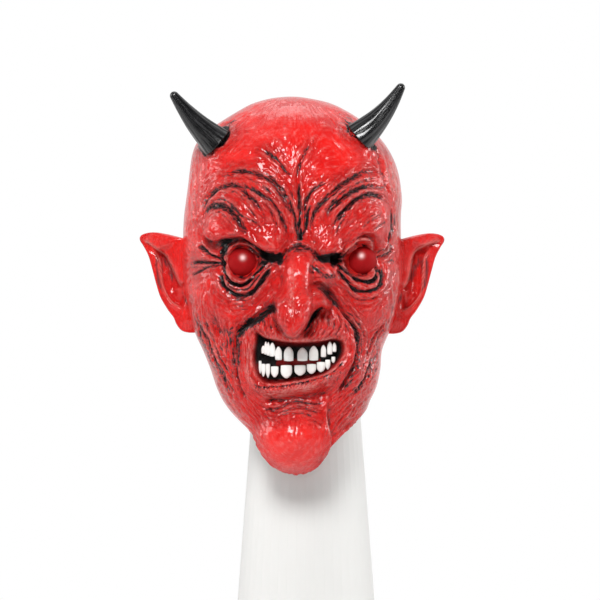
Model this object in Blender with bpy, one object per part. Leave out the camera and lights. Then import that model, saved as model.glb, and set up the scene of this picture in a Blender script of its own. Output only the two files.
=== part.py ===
import math

import bmesh
import bpy
import numpy as np
from mathutils import Vector
from mathutils.bvhtree import BVHTree

# The face is laid out on a squared sheet seen from the front. A place on it is
# (across, down) in steps of the sheet, and depths are in the same steps,
# negative towards the viewer. The stand's axis and underside are at SHEET_ZERO.
STEP = 0.0009
SHEET_ZERO = (306.0, 650.0)
CHIN_DOWN = 473.0

# Head: from the brow's line up to the crown, as made and as drawn on the sheet
SKULL_RISE = 0.09315
DRAWN_TOP = (200.0, 96.5)

# Mask shell
MASK_WALL = 0.0031
EAR_EDGE = 0.0036
MOUTH_DEPTH = 0.0135
TOOTH_LENGTH = 0.0072
TOOTH_ROOT = 0.0020

# Horns
HORN_BASE_RADIUS = 0.0153
HORN_TIP_RADIUS = 0.0034
HORN_SEAT_DEPTH = 0.0055
HORN_FLUTES = 7
HORN_FLUTE_DEPTH = 0.0012

# Eye domes
EYE_RADIUS = 0.0140
EYE_BACK = 0.0010

# Stand
POST_FOOT_RADIUS = 0.0649
POST_TAPER = 0.0719
FOOT_RADIUS = 0.0980
FOOT_THICKNESS = 0.0120
FOOT_EDGE_ROUND = 0.0040
POST_SIDES = 44

# Fits
SEAT_GAP = 0.0003
POST_CLEARANCE = 0.0012

# Head outline on the sheet: (down, across) for each side
LEFT_OUTLINE = (
    (96.5, 291), (98.5, 270), (101, 260), (104.5, 250), (110, 240), (119, 225),
    (130, 209), (144, 196), (155, 192), (168, 190), (185, 188), (200, 186),
    (215, 184), (235, 183), (285, 184), (310, 189), (335, 196), (350, 203),
    (370, 211), (390, 218), (400, 223), (410, 230), (420, 239), (430, 247),
    (445, 250), (460, 251), (475, 256))
RIGHT_OUTLINE = (
    (96.5, 292), (99, 313), (101.5, 325), (105, 335), (110, 345), (118, 358),
    (128, 370), (138, 380), (152, 390), (168, 397), (188, 401), (200, 402),
    (215, 401), (235, 401), (260, 402), (280, 402), (305, 397), (330, 390),
    (350, 382), (370, 380), (390, 375), (400, 370), (410, 366), (420, 360),
    (430, 353), (445, 348), (460, 345), (475, 340))
# Head depth on the sheet: (down, depth)
FRONT_DEPTH = (
    (96.5, 5), (98.5, -24), (101, -37), (104.5, -48), (110, -60), (119, -74),
    (130, -85), (144, -95), (160, -102), (180, -107), (200, -110), (235, -112),
    (262, -110), (300, -109), (340, -112), (380, -113), (410, -112), (440, -114),
    (455, -109), (465, -101), (475, -86))
BACK_DEPTH = (
    (96.5, 5), (98.5, 38), (101, 52), (104.5, 65), (110, 78), (119, 93),
    (130, 105), (144, 115), (170, 126), (200, 130), (235, 129), (262, 124),
    (298, 112), (340, 94), (370, 80), (400, 70), (475, 66))
MIDDLE_DEPTH = (
    (96.5, 5), (200, 8), (300, 5), (340, -5), (380, -15), (400, -22),
    (420, -36), (435, -48), (455, -60), (475, -64))
# Lower rim of the mask: (turn from the front in degrees, down)
RIM = (
    (-180, 399), (-130, 402), (-90, 414), (-60, 436), (-35, 459), (-15, 470),
    (0, 473), (15, 468), (35, 450), (60, 427), (90, 406), (130, 400), (180, 399))


def place(across, depth, down):
    """Turn sheet values into metres; above the brow's line the skull's rise rules."""
    brow, crown = DRAWN_TOP
    above = np.maximum(brow - down, 0)
    stretch = SKULL_RISE / ((brow - crown) * STEP)
    height = (SHEET_ZERO[1] - np.maximum(down, brow)) * STEP + above * STEP * stretch
    return np.stack([(across - SHEET_ZERO[0]) * STEP, depth * STEP, height], -1)


def through(knots, at, rooted=False):
    """Read a smooth curve through (place, value) knots."""
    table = np.array(knots, float)
    spot = table[:, 0]
    value = table[:, 1]
    at = np.asarray(at, float)
    if rooted:
        spot = np.sqrt(spot - spot[0])
        at = np.sqrt(np.maximum(at - table[0, 0], 0))
    slope = np.gradient(value, spot)
    i = np.clip(np.searchsorted(spot, at) - 1, 0, len(spot) - 2)
    span = spot[i + 1] - spot[i]
    s = np.clip((at - spot[i]) / span, 0, 1)
    return ((1 + 2 * s) * (1 - s) ** 2 * value[i] + s * (1 - s) ** 2 * span * slope[i]
            + s * s * (3 - 2 * s) * value[i + 1] + s * s * (s - 1) * span * slope[i + 1])


def eased(low, high, x):
    s = np.clip((x - low) / (high - low), 0, 1)
    return s * s * (3 - 2 * s)


def rounded_path(points, closed=False, steps=5):
    """Fill in a smooth line between sheet points."""
    p = np.array(points, float)
    if closed:
        p = np.vstack([p[-1], p, p[0], p[1]])
    else:
        p = np.vstack([2 * p[0] - p[1], p, 2 * p[-1] - p[-2]])
    out = []
    for k in range(1, len(p) - 2):
        for t in np.arange(steps) / steps:
            out.append(0.5 * (2 * p[k] + (p[k + 1] - p[k - 1]) * t
                              + (2 * p[k - 1] - 5 * p[k] + 4 * p[k + 1] - p[k + 2]) * t * t
                              + (3 * p[k] - p[k - 1] - 3 * p[k + 1] + p[k + 2]) * t ** 3))
    out.append(p[-2])
    return np.array(out)


class Relief:
    """Raised and sunk forms over the places of a grid."""

    def __init__(self, across, down, gate):
        self.u = across.ravel()
        self.v = down.ravel()
        self.gate = gate.ravel()
        self.lift = np.zeros(self.u.size)

    def near(self, path, reach):
        low = path.min(0) - reach
        high = path.max(0) + reach
        inside = (self.u > low[0]) & (self.u < high[0]) & (self.v > low[1]) & (self.v < high[1])
        return np.nonzero(inside & (self.gate > 0))[0]

    def measure(self, path, pick):
        """Distance from a path, share of its length and the side of it."""
        best = np.full(pick.size, 1e9)
        share = np.zeros(pick.size)
        side = np.ones(pick.size)
        run = np.concatenate([[0], np.cumsum(np.hypot(*np.diff(path, axis=0).T))])
        pu = self.u[pick]
        pv = self.v[pick]
        for k in range(len(path) - 1):
            a = path[k]
            d = path[k + 1] - a
            size = max(d @ d, 1e-9)
            t = np.clip(((pu - a[0]) * d[0] + (pv - a[1]) * d[1]) / size, 0, 1)
            gap = np.hypot(pu - a[0] - t * d[0], pv - a[1] - t * d[1])
            closer = gap < best
            best[closer] = gap[closer]
            share[closer] = (run[k] + t[closer] * math.sqrt(size)) / run[-1]
            turn = d[0] * (pv - a[1]) - d[1] * (pu - a[0])
            side[closer] = np.where(turn[closer] < 0, 1, -1)
        return best, share, side

    def bump(self, across, down, wide, high, lift, turn=0.0):
        c = math.cos(math.radians(turn))
        s = math.sin(math.radians(turn))
        x = self.u - across
        y = self.v - down
        r = ((x * c + y * s) / wide) ** 2 + ((y * c - x * s) / high) ** 2
        self.lift += lift * np.maximum(1 - r, 0) ** 2 * self.gate

    def fold(self, points, width, depth, lip=0.0, blunt=0.15):
        """A groove, or a ridge where the depth is negative."""
        path = rounded_path(points)
        pick = self.near(path, 4 * width + 4)
        gap, share, side = self.measure(path, pick)
        fade = eased(0, blunt, share) * eased(0, blunt, 1 - share) if blunt else 1.0
        cut = -depth * np.exp(-(gap / width) ** 2)
        cut += lip * np.exp(-((gap - 2.0 * width) / width) ** 2)
        self.lift[pick] += cut * fade * self.gate[pick]

    def ledge(self, points, over, under, reach_over, reach_under, edge=1.0, blunt=0.12):
        """A step: one side of the line stands out, the other is sunk."""
        path = rounded_path(points)
        pick = self.near(path, 3 * max(reach_over, reach_under))
        gap, share, side = self.measure(path, pick)
        fade = eased(0, blunt, share) * eased(0, blunt, 1 - share)
        out = over * np.exp(-(gap / reach_over) ** 2)
        down = -under * np.exp(-(gap / reach_under) ** 2)
        mix = 0.5 + 0.5 * np.tanh(side * gap / edge)
        self.lift[pick] += (out * mix + down * (1 - mix)) * fade * self.gate[pick]

    def pad(self, outline, tops, radius, steep):
        """A cushion inside an outline: (down, height) knots, and walls as (down, slope)."""
        path = rounded_path(outline, closed=True)
        pick = self.near(path, 16)
        gap, share, side = self.measure(path, pick)
        gap = gap * np.where(side < 0, 1, -1)
        v = self.v[pick]
        curve = 1 - np.sqrt(1 - np.clip(1 - gap / radius, 0, 1) ** 2)
        wall = np.interp(v, [k[0] for k in steep], [k[1] for k in steep])
        rise = through(tops, v) - radius * 0.9 * curve - np.maximum(-gap, 0) * wall
        now = self.lift[pick]
        mix = 0.5 + 0.5 * np.tanh((rise - now) / 2.0)
        self.lift[pick] = now + (rise - now) * mix * self.gate[pick]


def between(first, last, count):
    """A family of lines from one to another."""
    a = np.array(first, float)
    b = np.array(last, float)
    return [a + (b - a) * k / (count - 1) for k in range(count)]


NOSE_BULB = (
    (289, 246), (300, 243), (313, 247), (315, 256), (311, 266), (310, 276), (310, 286),
    (312, 297), (311.5, 307), (308.5, 317), (305, 325), (300, 332.5), (293, 336), (286.5, 334),
    (281.5, 328), (278, 320), (276, 311), (275.5, 303), (277.5, 297), (282.5, 291.5), (285, 285),
    (286, 275), (285.5, 265), (287, 255))
NOSE_WING = (
    (303, 292), (309, 289), (315, 287.5), (321, 290.5), (325, 295.5), (327.3, 302), (326, 307.5),
    (321.5, 307), (317, 308.5), (312.5, 312.5), (309, 317), (302, 318), (299, 305))
MOUTH = (
    (256, 332), (266, 336), (279, 339), (296, 341), (318, 340), (333, 337.5), (342, 342),
    (342, 352), (336, 363), (325, 373), (308, 378.5), (288, 382), (267, 383), (256, 376),
    (251, 358), (252, 343))


def carve_face(r):
    """The large forms and the folds that show from a step away."""
    # skull, brow pads, sockets, cheeks, muzzle and chin
    r.bump(250, 212, 58, 40, 7)
    r.bump(347, 212, 52, 38, 7)
    r.bump(273, 240, 21, 18, 8)
    r.bump(224, 228, 25, 18, 5)
    r.bump(326, 242, 23, 18, 8)
    r.bump(371, 225, 25, 26, 7)
    r.bump(243, 262, 34, 23, -9)
    r.bump(361, 262, 30, 23, -9)
    r.bump(275, 259, 15, 10, -7)
    r.bump(331, 258, 18, 10, -7)
    r.bump(216, 300, 38, 42, 6)
    r.bump(380, 300, 30, 42, 6)
    r.bump(218, 326, 10, 24, -4, -8)
    r.bump(297, 350, 68, 54, 9)
    r.bump(262, 320, 24, 17, 6)
    r.bump(326, 324, 26, 19, 6)
    r.bump(293, 437, 43, 38, 17)
    r.bump(353, 370, 12, 22, 5)
    # skin collars round the horns
    r.bump(214, 140, 30, 30, 5)
    r.bump(362, 133, 30, 30, 5)
    # brow folds, arcs nested one inside the other
    left_brow = between(
        ((207, 185), (226, 174), (249, 173), (272, 184), (288, 208), (298, 239)),
        ((204, 217), (212, 207.5), (225, 207.5), (236, 215), (245, 227), (252, 238)), 5)
    right_brow = between(
        ((385, 177), (372, 173), (356, 177), (336, 190), (319, 207), (307, 240)),
        ((388, 208), (379, 198), (366, 196), (354, 203), (343, 214), (332, 235)), 4)
    for line in left_brow + right_brow:
        r.fold(line, 2.3, 3.4, 1.0)
    # frown lines on the forehead and between the brows
    r.fold(((260, 150), (273, 156), (284, 169), (293, 179)), 2.0, 2.2, 0.6)
    r.fold(((311, 143), (303, 158), (297, 174), (293, 179)), 2.0, 2.2, 0.6)
    r.fold(((298, 178), (301, 205), (299, 228), (300, 244)), 2.2, 3.4, 0.8)
    r.fold(((285, 198), (290, 210), (296, 226), (299, 238)), 2.0, 2.4, 0.5)
    r.fold(((310, 198), (305, 215), (302, 231)), 2.0, 2.4, 0.5)
    # overhanging lower edges of the brow pads
    r.ledge(((203, 229), (218, 242), (230, 239), (243, 238), (252, 243), (262, 250),
             (272, 255.5), (281, 256), (290, 246)), 9, 7, 13, 9)
    r.ledge(((311, 246), (320, 256.5), (328, 258), (337, 254.5), (346, 250.5)), 9, 7, 12, 8,
            1.0, 0.2)
    r.ledge(((341, 252), (350, 247), (354, 240), (361, 234.5), (368, 236.5), (373, 243.5),
             (378, 251), (385, 248), (390, 236)), 4.5, 4.0, 9, 6, 1.8, 0.22)
    r.fold(((285, 253), (294, 247.5), (300, 246.5), (306, 247.5), (315, 253)), 2.4, 5)
    # lids and the bags under the eyes
    r.fold(((223, 262), (227, 251), (233, 246), (241, 244), (249, 247), (256, 254),
            (264, 261)), 1.9, -5)
    r.fold(((223, 262), (227, 272), (234, 279), (242, 281), (250, 278), (258, 269),
            (265, 263)), 1.9, -5)
    r.fold(((338, 263), (345, 252), (353, 243), (361, 241), (369, 245), (374, 256),
            (374, 266)), 1.9, -5)
    r.fold(((338, 263), (346, 270), (354, 277), (362, 279), (369, 277), (374, 269),
            (374, 262)), 1.9, -5)
    r.fold(((222, 270), (228, 285), (240, 294), (250, 293), (260, 283), (272, 268)), 2.4, 4, 1.5)
    r.fold(((339, 270), (346, 282), (354, 289), (363, 292), (372, 288), (378, 277),
            (378, 264)), 2.4, 4, 1.5)
    # crow's feet
    for k in range(3):
        r.fold(((221, 260 + 3 * k), (209, 255 + 6 * k), (195, 246 + 14 * k)), 2.4, 3.2, 0.6)
    # nose: side of the bridge, wing, drooping bulb and nostril
    r.bump(318, 272, 22, 24, 12)
    r.pad(NOSE_WING, ((285, 24), (292, 28), (300, 31), (309, 27), (320, 22)), 9,
          ((285, 3), (300, 6)))
    r.pad(NOSE_BULB, ((244, 8), (250, 12), (265, 22), (284, 33), (302, 44), (318, 50), (330, 50),
                      (340, 48)), 14, ((250, 0.3), (264, 0.7), (276, 2), (288, 5), (298, 10)))
    r.bump(314.8, 315.5, 12, 4.2, -9, -54)
    # folds from the nose to the mouth corners
    r.ledge(((277, 303), (265, 314), (250, 325), (238, 336), (241, 352), (240, 368),
             (244, 384), (250, 400)), 5, 9, 14, 4.5)
    r.ledge(((334, 394), (343, 378), (350, 360), (353, 344), (351, 328), (341, 314),
             (331, 298), (320, 288), (309, 290)), 4, 8, 13, 4.0)
    # long cheek folds
    for line in between(((193, 300), (198, 316), (203, 336), (208, 358)),
                        ((199, 303), (205, 330), (216, 362), (237, 404)), 3):
        r.fold(line, 2.2, 3.0, 1.2)
    for line in between(((388, 303), (383, 326), (374, 350), (352, 394)),
                        ((376, 330), (370, 350), (362, 372), (342, 404)), 3):
        r.fold(line, 2.2, 3.0, 1.2)
    # lips, mouth hollow and chin creases
    r.fold(((252, 366), (259, 386), (280, 390), (302, 388), (322, 381), (340, 364)), 5.5, -4)
    r.fold(((268, 402), (285, 403), (303, 399), (322, 397), (336, 392)), 4.5, 5)
    for k in range(3):
        r.fold(((264, 413 + 6 * k), (283, 408 + 5 * k), (300, 409 + 4 * k),
                (318, 410 + 5 * k)), 1.8, 1.8, 0.4)
    r.ledge(((331, 396), (327.5, 404), (327, 414), (328.5, 426), (330.5, 437), (328.5, 449),
             (323, 460)), -4.5, -2.5, 6, 9, 1.2, 0.3)
    path = rounded_path(MOUTH, closed=True)
    pick = r.near(path, 12)
    gap, share, side = r.measure(path, pick)
    gap = gap * np.where(side < 0, 1, -1)
    r.lift[pick] += 3.0 * np.exp(-((gap + 4.5) / 3.5) ** 2) * (gap < 3)
    sink = eased(0.0, 4.5, gap)
    floor = 9 - MOUTH_DEPTH / STEP
    r.lift[pick] = r.lift[pick] * (1 - sink) + floor * sink


def section_turns():
    """Turns round the head, close together across the face and wide behind."""
    fine = np.linspace(-math.pi, math.pi, 4001)
    x = np.sign(np.sin(fine)) * np.abs(np.sin(fine)) ** 0.8
    y = -np.sign(np.cos(fine)) * np.abs(np.cos(fine)) ** 0.8
    run = np.concatenate([[0], np.cumsum(np.hypot(np.diff(x), np.diff(y)))])
    density = np.where(np.abs(fine) < 1.35, 1.0, 0.28)
    work = np.concatenate([[0], np.cumsum(np.diff(run) * density[1:])])
    return np.interp(np.arange(170) / 170 * work[-1], work, fine)


def head_rows():
    """Sheet lines from the crown to the chin."""
    top = DRAWN_TOP[1] + np.linspace(0, 5.4, 15)[1:] ** 2
    rest = np.linspace(top[-1], CHIN_DOWN, 172)[1:]
    return np.concatenate([top, rest])


def head_skin(turns, rows):
    """Outer surface of the head as a grid of sheet values."""
    rim = through(RIM, np.degrees(turns))
    level = 330.0
    v = np.where(rows[:, None] <= level, rows[:, None],
                 level + (rows[:, None] - level) * (rim[None, :] - level) / (CHIN_DOWN - level))
    left = through(LEFT_OUTLINE, v, True)
    right = through(RIGHT_OUTLINE, v, True)
    centre = 291.5 + 6.5 * eased(DRAWN_TOP[1], 230, v)
    front = through(FRONT_DEPTH, v, True)
    back = through(BACK_DEPTH, v, True)
    middle = through(MIDDLE_DEPTH, v)
    power = 2.15 + 0.4 * eased(110, 220, v)
    sine = np.sin(turns)[None, :]
    cosine = np.cos(turns)[None, :]
    wide = np.where(sine > 0, right - centre, centre - left)
    across = centre + wide * np.sign(sine) * np.abs(sine) ** (2 / power)
    deep = np.where(cosine > 0, middle - front, back - middle)
    depth = middle - deep * np.sign(cosine) * np.abs(cosine) ** (2 / power)
    grid = place(across, depth, v)
    outward = grid_normals(grid)
    gate = eased(-0.10, -0.45, outward[..., 1])
    relief = Relief(across, v, gate)
    carve_face(relief)
    lift = relief.lift.reshape(across.shape) * STEP
    push = outward.copy()
    forward = eased(5, 18, lift / STEP)[..., None]
    push = push * (1 - forward) + np.array([0.0, -1.0, -0.02]) * forward
    push /= np.linalg.norm(push, axis=-1, keepdims=True)
    skin = clear_of_post(grid + push * lift[..., None], MASK_WALL + POST_CLEARANCE)
    return skin, (grid, outward, lift * (push * outward).sum(-1))


def grid_normals(grid):
    round_it = np.roll(grid, -1, 1) - np.roll(grid, 1, 1)
    down_it = np.gradient(grid, axis=0)
    n = np.cross(down_it, round_it)
    n /= np.maximum(np.linalg.norm(n, axis=-1, keepdims=True), 1e-12)
    return n


def post_radius(height):
    return POST_FOOT_RADIUS - POST_TAPER * height


def clear_of_post(grid, margin):
    """Keep the shell clear of the post that it stands on."""
    reach = np.hypot(grid[..., 0], grid[..., 1])
    least = post_radius(grid[..., 2]) + margin
    low = grid[..., 2] < 0.30
    grow = np.where(low & (reach < least), least / np.maximum(reach, 1e-6), 1.0)
    out = grid.copy()
    out[..., 0] *= grow
    out[..., 1] *= grow
    return out


def closed_from_grid(grid, top):
    """Close a wrapped grid with a point above and a fan below."""
    n, m = grid.shape[:2]
    verts = [tuple(p) for p in grid.reshape(-1, 3)]
    verts.append(tuple(top))
    verts.append(tuple(grid[-1].mean(0)))
    faces = []
    for i in range(n - 1):
        for j in range(m):
            k = (j + 1) % m
            faces.append((i * m + j, (i + 1) * m + j, (i + 1) * m + k, i * m + k))
    for j in range(m):
        k = (j + 1) % m
        faces.append((n * m, j, k))
        faces.append(((n - 1) * m + j, n * m + 1, (n - 1) * m + k))
    return verts, faces


def make_object(name, verts, faces, material):
    mesh = bpy.data.meshes.new(name)
    mesh.from_pydata([tuple(map(float, v)) for v in verts], [], faces)
    mesh.validate()
    bm = bmesh.new()
    bm.from_mesh(mesh)
    bmesh.ops.remove_doubles(bm, verts=bm.verts, dist=0.000001)
    bmesh.ops.recalc_face_normals(bm, faces=bm.faces)
    bm.to_mesh(mesh)
    bm.free()
    obj = bpy.data.objects.new(name, mesh)
    bpy.context.collection.objects.link(obj)
    if material:
        mesh.materials.append(material)
    return obj


def finish_with(obj, name, kind, **settings):
    modifier = obj.modifiers.new(name, kind)
    for key, value in settings.items():
        setattr(modifier, key, value)
    graph = bpy.context.evaluated_depsgraph_get()
    mesh = bpy.data.meshes.new_from_object(obj.evaluated_get(graph))
    obj.modifiers.clear()
    old = obj.data
    obj.data = mesh
    bpy.data.meshes.remove(old)


def combine(obj, other, operation, name):
    finish_with(obj, name, 'BOOLEAN', operation=operation, object=other, solver='EXACT')
    bpy.data.objects.remove(other)


def inner_form(form, seats):
    """Inside of the shell: the calmed relief, set in by the wall."""
    grid, outward, lift = form
    deep = lift.copy()
    for _ in range(3):
        deep = np.minimum(deep, np.minimum(np.roll(deep, 1, 1), np.roll(deep, -1, 1)))
        deep = np.minimum(deep, np.concatenate([deep[1:], deep[-1:]]))
        deep = np.minimum(deep, np.concatenate([deep[:1], deep[:-1]]))
    for _ in range(4):
        deep[1:-1] = deep[1:-1] * 0.4 + 0.15 * (deep[:-2] + deep[2:] + np.roll(deep[1:-1], 1, 1)
                                                + np.roll(deep[1:-1], -1, 1))
    inner = grid + outward * (deep - MASK_WALL)[..., None]
    inward = -outward
    rows = np.concatenate([np.arange(3, grid.shape[0] - 2, 3), [grid.shape[0] - 1]])
    inner = inner[rows][:, ::2]
    inward = inward[rows][:, ::2]
    for centre, radius in seats:
        away = inner - np.array(centre)
        b = (away * inward).sum(-1)
        c = (away * away).sum(-1) - radius * radius
        root = np.sqrt(np.maximum(b * b - c, 0))
        inner += inward * np.where(c < 0, np.maximum(root - b, 0), 0)[..., None]
    return clear_of_post(inner, POST_CLEARANCE)


def add_inner(inner):
    below = inner[-1:].copy()
    below[..., 2] -= 0.012
    top = inner[0].mean(0)
    top[2] = inner[0][:, 2].max() + 0.0006
    return closed_from_grid(np.concatenate([inner, below]), top), top


EAR_OUTLINE = (
    (197, 241), (188, 240), (180, 238), (168, 235), (156, 233), (147, 233.5), (141, 236),
    (140, 240), (144, 246), (149, 256), (153, 270), (157, 285), (161, 297), (168, 309),
    (174, 317), (177, 324), (182, 330), (189, 332), (196, 332))


def ear_grid(across_count, along_count, fold_line, rim_line):
    """Front and back skins of an ear, from its root to its outline."""
    edge = rounded_path(EAR_OUTLINE, steps=12)
    run = np.concatenate([[0], np.cumsum(np.hypot(*np.diff(edge, axis=0).T))])
    spots = np.linspace(0, run[-1], along_count)
    outer = np.stack([np.interp(spots, run, edge[:, 0]), np.interp(spots, run, edge[:, 1])], -1)
    s = spots / run[-1]
    root = np.stack([203 + 0 * s, 247 + 76 * eased(0.1, 1.0, s)], -1)
    a = np.linspace(0, 1, across_count)[:, None, None] ** 0.8
    flat = root[None] * (1 - a) + outer[None] * a
    relief = Relief(flat[..., 0], flat[..., 1], np.ones(flat.shape[:2]))
    # flap in front of the hollow, the hollow itself and the rolled outer rim
    relief.ledge(rim_line, 3.0, 9.0, 5.0, 16.0, 1.2, 0.1)
    relief.ledge(fold_line, 6.0, 7.0, 22.0, 8.0, 1.0, 0.08)
    relief.bump(186, 318, 16, 14, 3)
    front = -relief.lift.reshape(flat.shape[:2])
    across = flat[..., 0]
    sweep = 6 + 0.30 * (185 - across)
    close = np.linspace(0, 1, across_count)[:, None] ** 3
    edge_depth = EAR_EDGE / STEP
    front = sweep - 2 + front * (1 - close)
    back = np.maximum(sweep + edge_depth, front + edge_depth)
    swell = 10 * np.sin(np.clip((across - 140) / 50, 0, 1) * math.pi / 2)
    back = back + swell * (1 - close)
    return across, flat[..., 1], front, back


def make_ear(name, mirrored):
    if mirrored:
        fold_line = ((142, 239), (158, 244), (170, 252), (173, 268), (176, 280), (182, 289))
        rim_line = ((184, 309), (174, 306), (163, 292), (161, 275), (160, 258), (154, 247))
    else:
        fold_line = ((142, 239), (158, 250), (166, 256), (172, 268), (177, 279), (182, 288))
        rim_line = ((184, 309), (172, 302), (164, 289), (161, 275), (160, 262), (154, 249))
    across, down, front, back = ear_grid(16, 60, fold_line, rim_line)
    if mirrored:
        across = 584 - across
        down = down + 1.0
    first = place(across, front, down)
    second = place(across, back, down)
    edge = (first[-1] + second[-1]) / 2
    sideways = np.gradient(edge, axis=0)
    outer = np.cross(sideways, [0.0, 1.0, 0.0])
    outer /= np.maximum(np.linalg.norm(outer, axis=-1, keepdims=True), 1e-9)
    if (outer[len(outer) // 2, 0] > 0) != mirrored:
        outer = -outer
    edge = edge + outer * 0.0008
    ring = np.concatenate([first, edge[None], second[::-1]])
    n, m = ring.shape[:2]
    verts = ring.reshape(-1, 3)
    faces = [(i * m + j, (i + 1) * m + j, (i + 1) * m + j + 1, i * m + j + 1)
             for i in range(n - 1) for j in range(m - 1)]
    faces += [(i * m + j, i * m + j + 1, (n - 1 - i) * m + j + 1, (n - 1 - i) * m + j)
              for i in (0,) for j in range(m - 1)]
    faces += [tuple(i * m for i in range(n)), tuple(i * m + m - 1 for i in reversed(range(n)))]
    return make_object(name, verts, faces, None)


def loft(name, rings, material):
    """Closed solid through rings of equal count, flat at both ends."""
    count = len(rings[0])
    verts = [p for ring in rings for p in ring]
    faces = []
    for i in range(len(rings) - 1):
        for j in range(count):
            k = (j + 1) % count
            faces.append((i * count + j, i * count + k, (i + 1) * count + k, (i + 1) * count + j))
    faces.append(tuple(range(count)))
    last = (len(rings) - 1) * count
    faces.append(tuple(last + j for j in reversed(range(count))))
    return make_object(name, verts, faces, material)


def skin_depth(tree, across, down):
    """Depth of the skin at a place on the sheet, in metres."""
    start = Vector(place(np.float64(across), np.float64(-300.0), np.float64(down)))
    hit = tree.ray_cast(start, Vector((0, 1, 0)))[0]
    return hit.y


def horn_rings(base, tip, bow, grow, share_top):
    """Fluted rings from the root of a horn towards its tip."""
    base = Vector(base)
    tip = Vector(tip)
    axis = (tip - base).normalized()
    root = base - axis * (HORN_SEAT_DEPTH + grow)
    side = axis.cross(Vector((0, 1, 0))).normalized()
    length = (tip - root).length
    rings = []
    steps = 8
    count = HORN_FLUTES * 2
    for i in range(steps + 1):
        t = i / steps * share_top
        ahead = t * length
        if share_top == 1.0 and i >= steps - 2:
            ahead = length - (0.0, 0.18, 0.9)[steps - i] * HORN_TIP_RADIUS
            t = ahead / length
        centre = root + axis * ahead + side * bow * math.sin(math.pi * t)
        radius = HORN_BASE_RADIUS + (HORN_TIP_RADIUS - HORN_BASE_RADIUS) * t ** 0.92
        if share_top == 1.0 and i >= steps - 1:
            radius = HORN_TIP_RADIUS * (0.45, 0.82)[steps - i]
        flute = HORN_FLUTE_DEPTH * (1 - t) ** 0.6
        along = (axis + side * bow / length * math.pi * math.cos(math.pi * t)).normalized()
        e1 = along.cross(Vector((0, 1, 0))).normalized()
        e2 = along.cross(e1)
        ring = []
        for j in range(count):
            turn = 2 * math.pi * j / count
            r = radius - flute * (j % 2) + grow
            ring.append(centre + e1 * r * math.cos(turn) + e2 * r * math.sin(turn))
        rings.append(ring)
    return rings


def eye_rings(centre, grow):
    """Rings of a dome that looks forward, from its flat back."""
    radius = EYE_RADIUS + grow
    rings = []
    count = 16
    for turn in (0, 20, 40, 58, 76):
        t = math.radians(turn)
        ring = []
        for j in range(count):
            a = 2 * math.pi * j / count
            ring.append(Vector(centre) + Vector((radius * math.cos(t) * math.cos(a),
                                                 -radius * math.sin(t),
                                                 radius * math.cos(t) * math.sin(a))))
        if turn == 0:
            rings.append([p + Vector((0, EYE_BACK + grow, 0)) for p in ring])
        rings.append(ring)
    return rings


UPPER_TEETH = (
    (264, 341, 353, 4.5), (268, 341, 355, 4.5), (272.3, 342, 356, 6), (278.7, 346, 360, 7),
    (288.8, 345.5, 361, 9.6), (302.4, 347, 360.5, 10.4), (313.5, 345, 360, 9.2),
    (323.5, 344, 356.5, 5.5), (329.3, 341, 354, 5), (334, 341, 351.5, 4.4))
LOWER_TEETH = (
    (260.6, 359, 373, 3.4), (264, 362.5, 376, 4.2), (268.3, 363, 377, 4.2), (275, 365, 377, 8),
    (286.5, 364, 378, 11.2), (300, 364, 375, 11), (311.3, 363, 373.5, 9.6),
    (320.8, 361, 372, 8.4), (327.8, 359, 369.5, 5.4), (333, 356, 363, 4))


def tooth_rings(tree, across, top, bottom, wide, narrow_end):
    """A tapered block that stands forward from the gum."""
    middle = (top + bottom) / 2
    tall = (bottom - top) / 2
    start = skin_depth(tree, across, middle)
    rings = []
    for depth, inset in ((TOOTH_ROOT, 0.0), (-0.72 * TOOTH_LENGTH, 0.0), (-TOOTH_LENGTH, 0.28)):
        ring = []
        for j in range(6):
            turn = math.radians((30, 90, 150, 210, 270, 330)[j])
            x = math.copysign(abs(math.cos(turn)) ** 0.55, math.cos(turn))
            y = math.copysign(abs(math.sin(turn)) ** 0.55, math.sin(turn))
            pinch = 1 - 0.22 * (0.5 - 0.5 * y * narrow_end)
            half = (wide / 2) * x * pinch * (1 - inset)
            rise = tall * y * (1 - inset * 0.5)
            spot = place(np.float64(across + half), np.float64(0), np.float64(middle + rise))
            ring.append(Vector((spot[0], start + depth, spot[2])))
        rings.append(ring)
    return rings


def make_material(name, colour, rough):
    material = bpy.data.materials.new(name)
    material.use_nodes = True
    shader = material.node_tree.nodes["Principled BSDF"]
    shader.inputs["Base Color"].default_value = (*colour, 1)
    shader.inputs["Roughness"].default_value = rough
    return material


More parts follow.
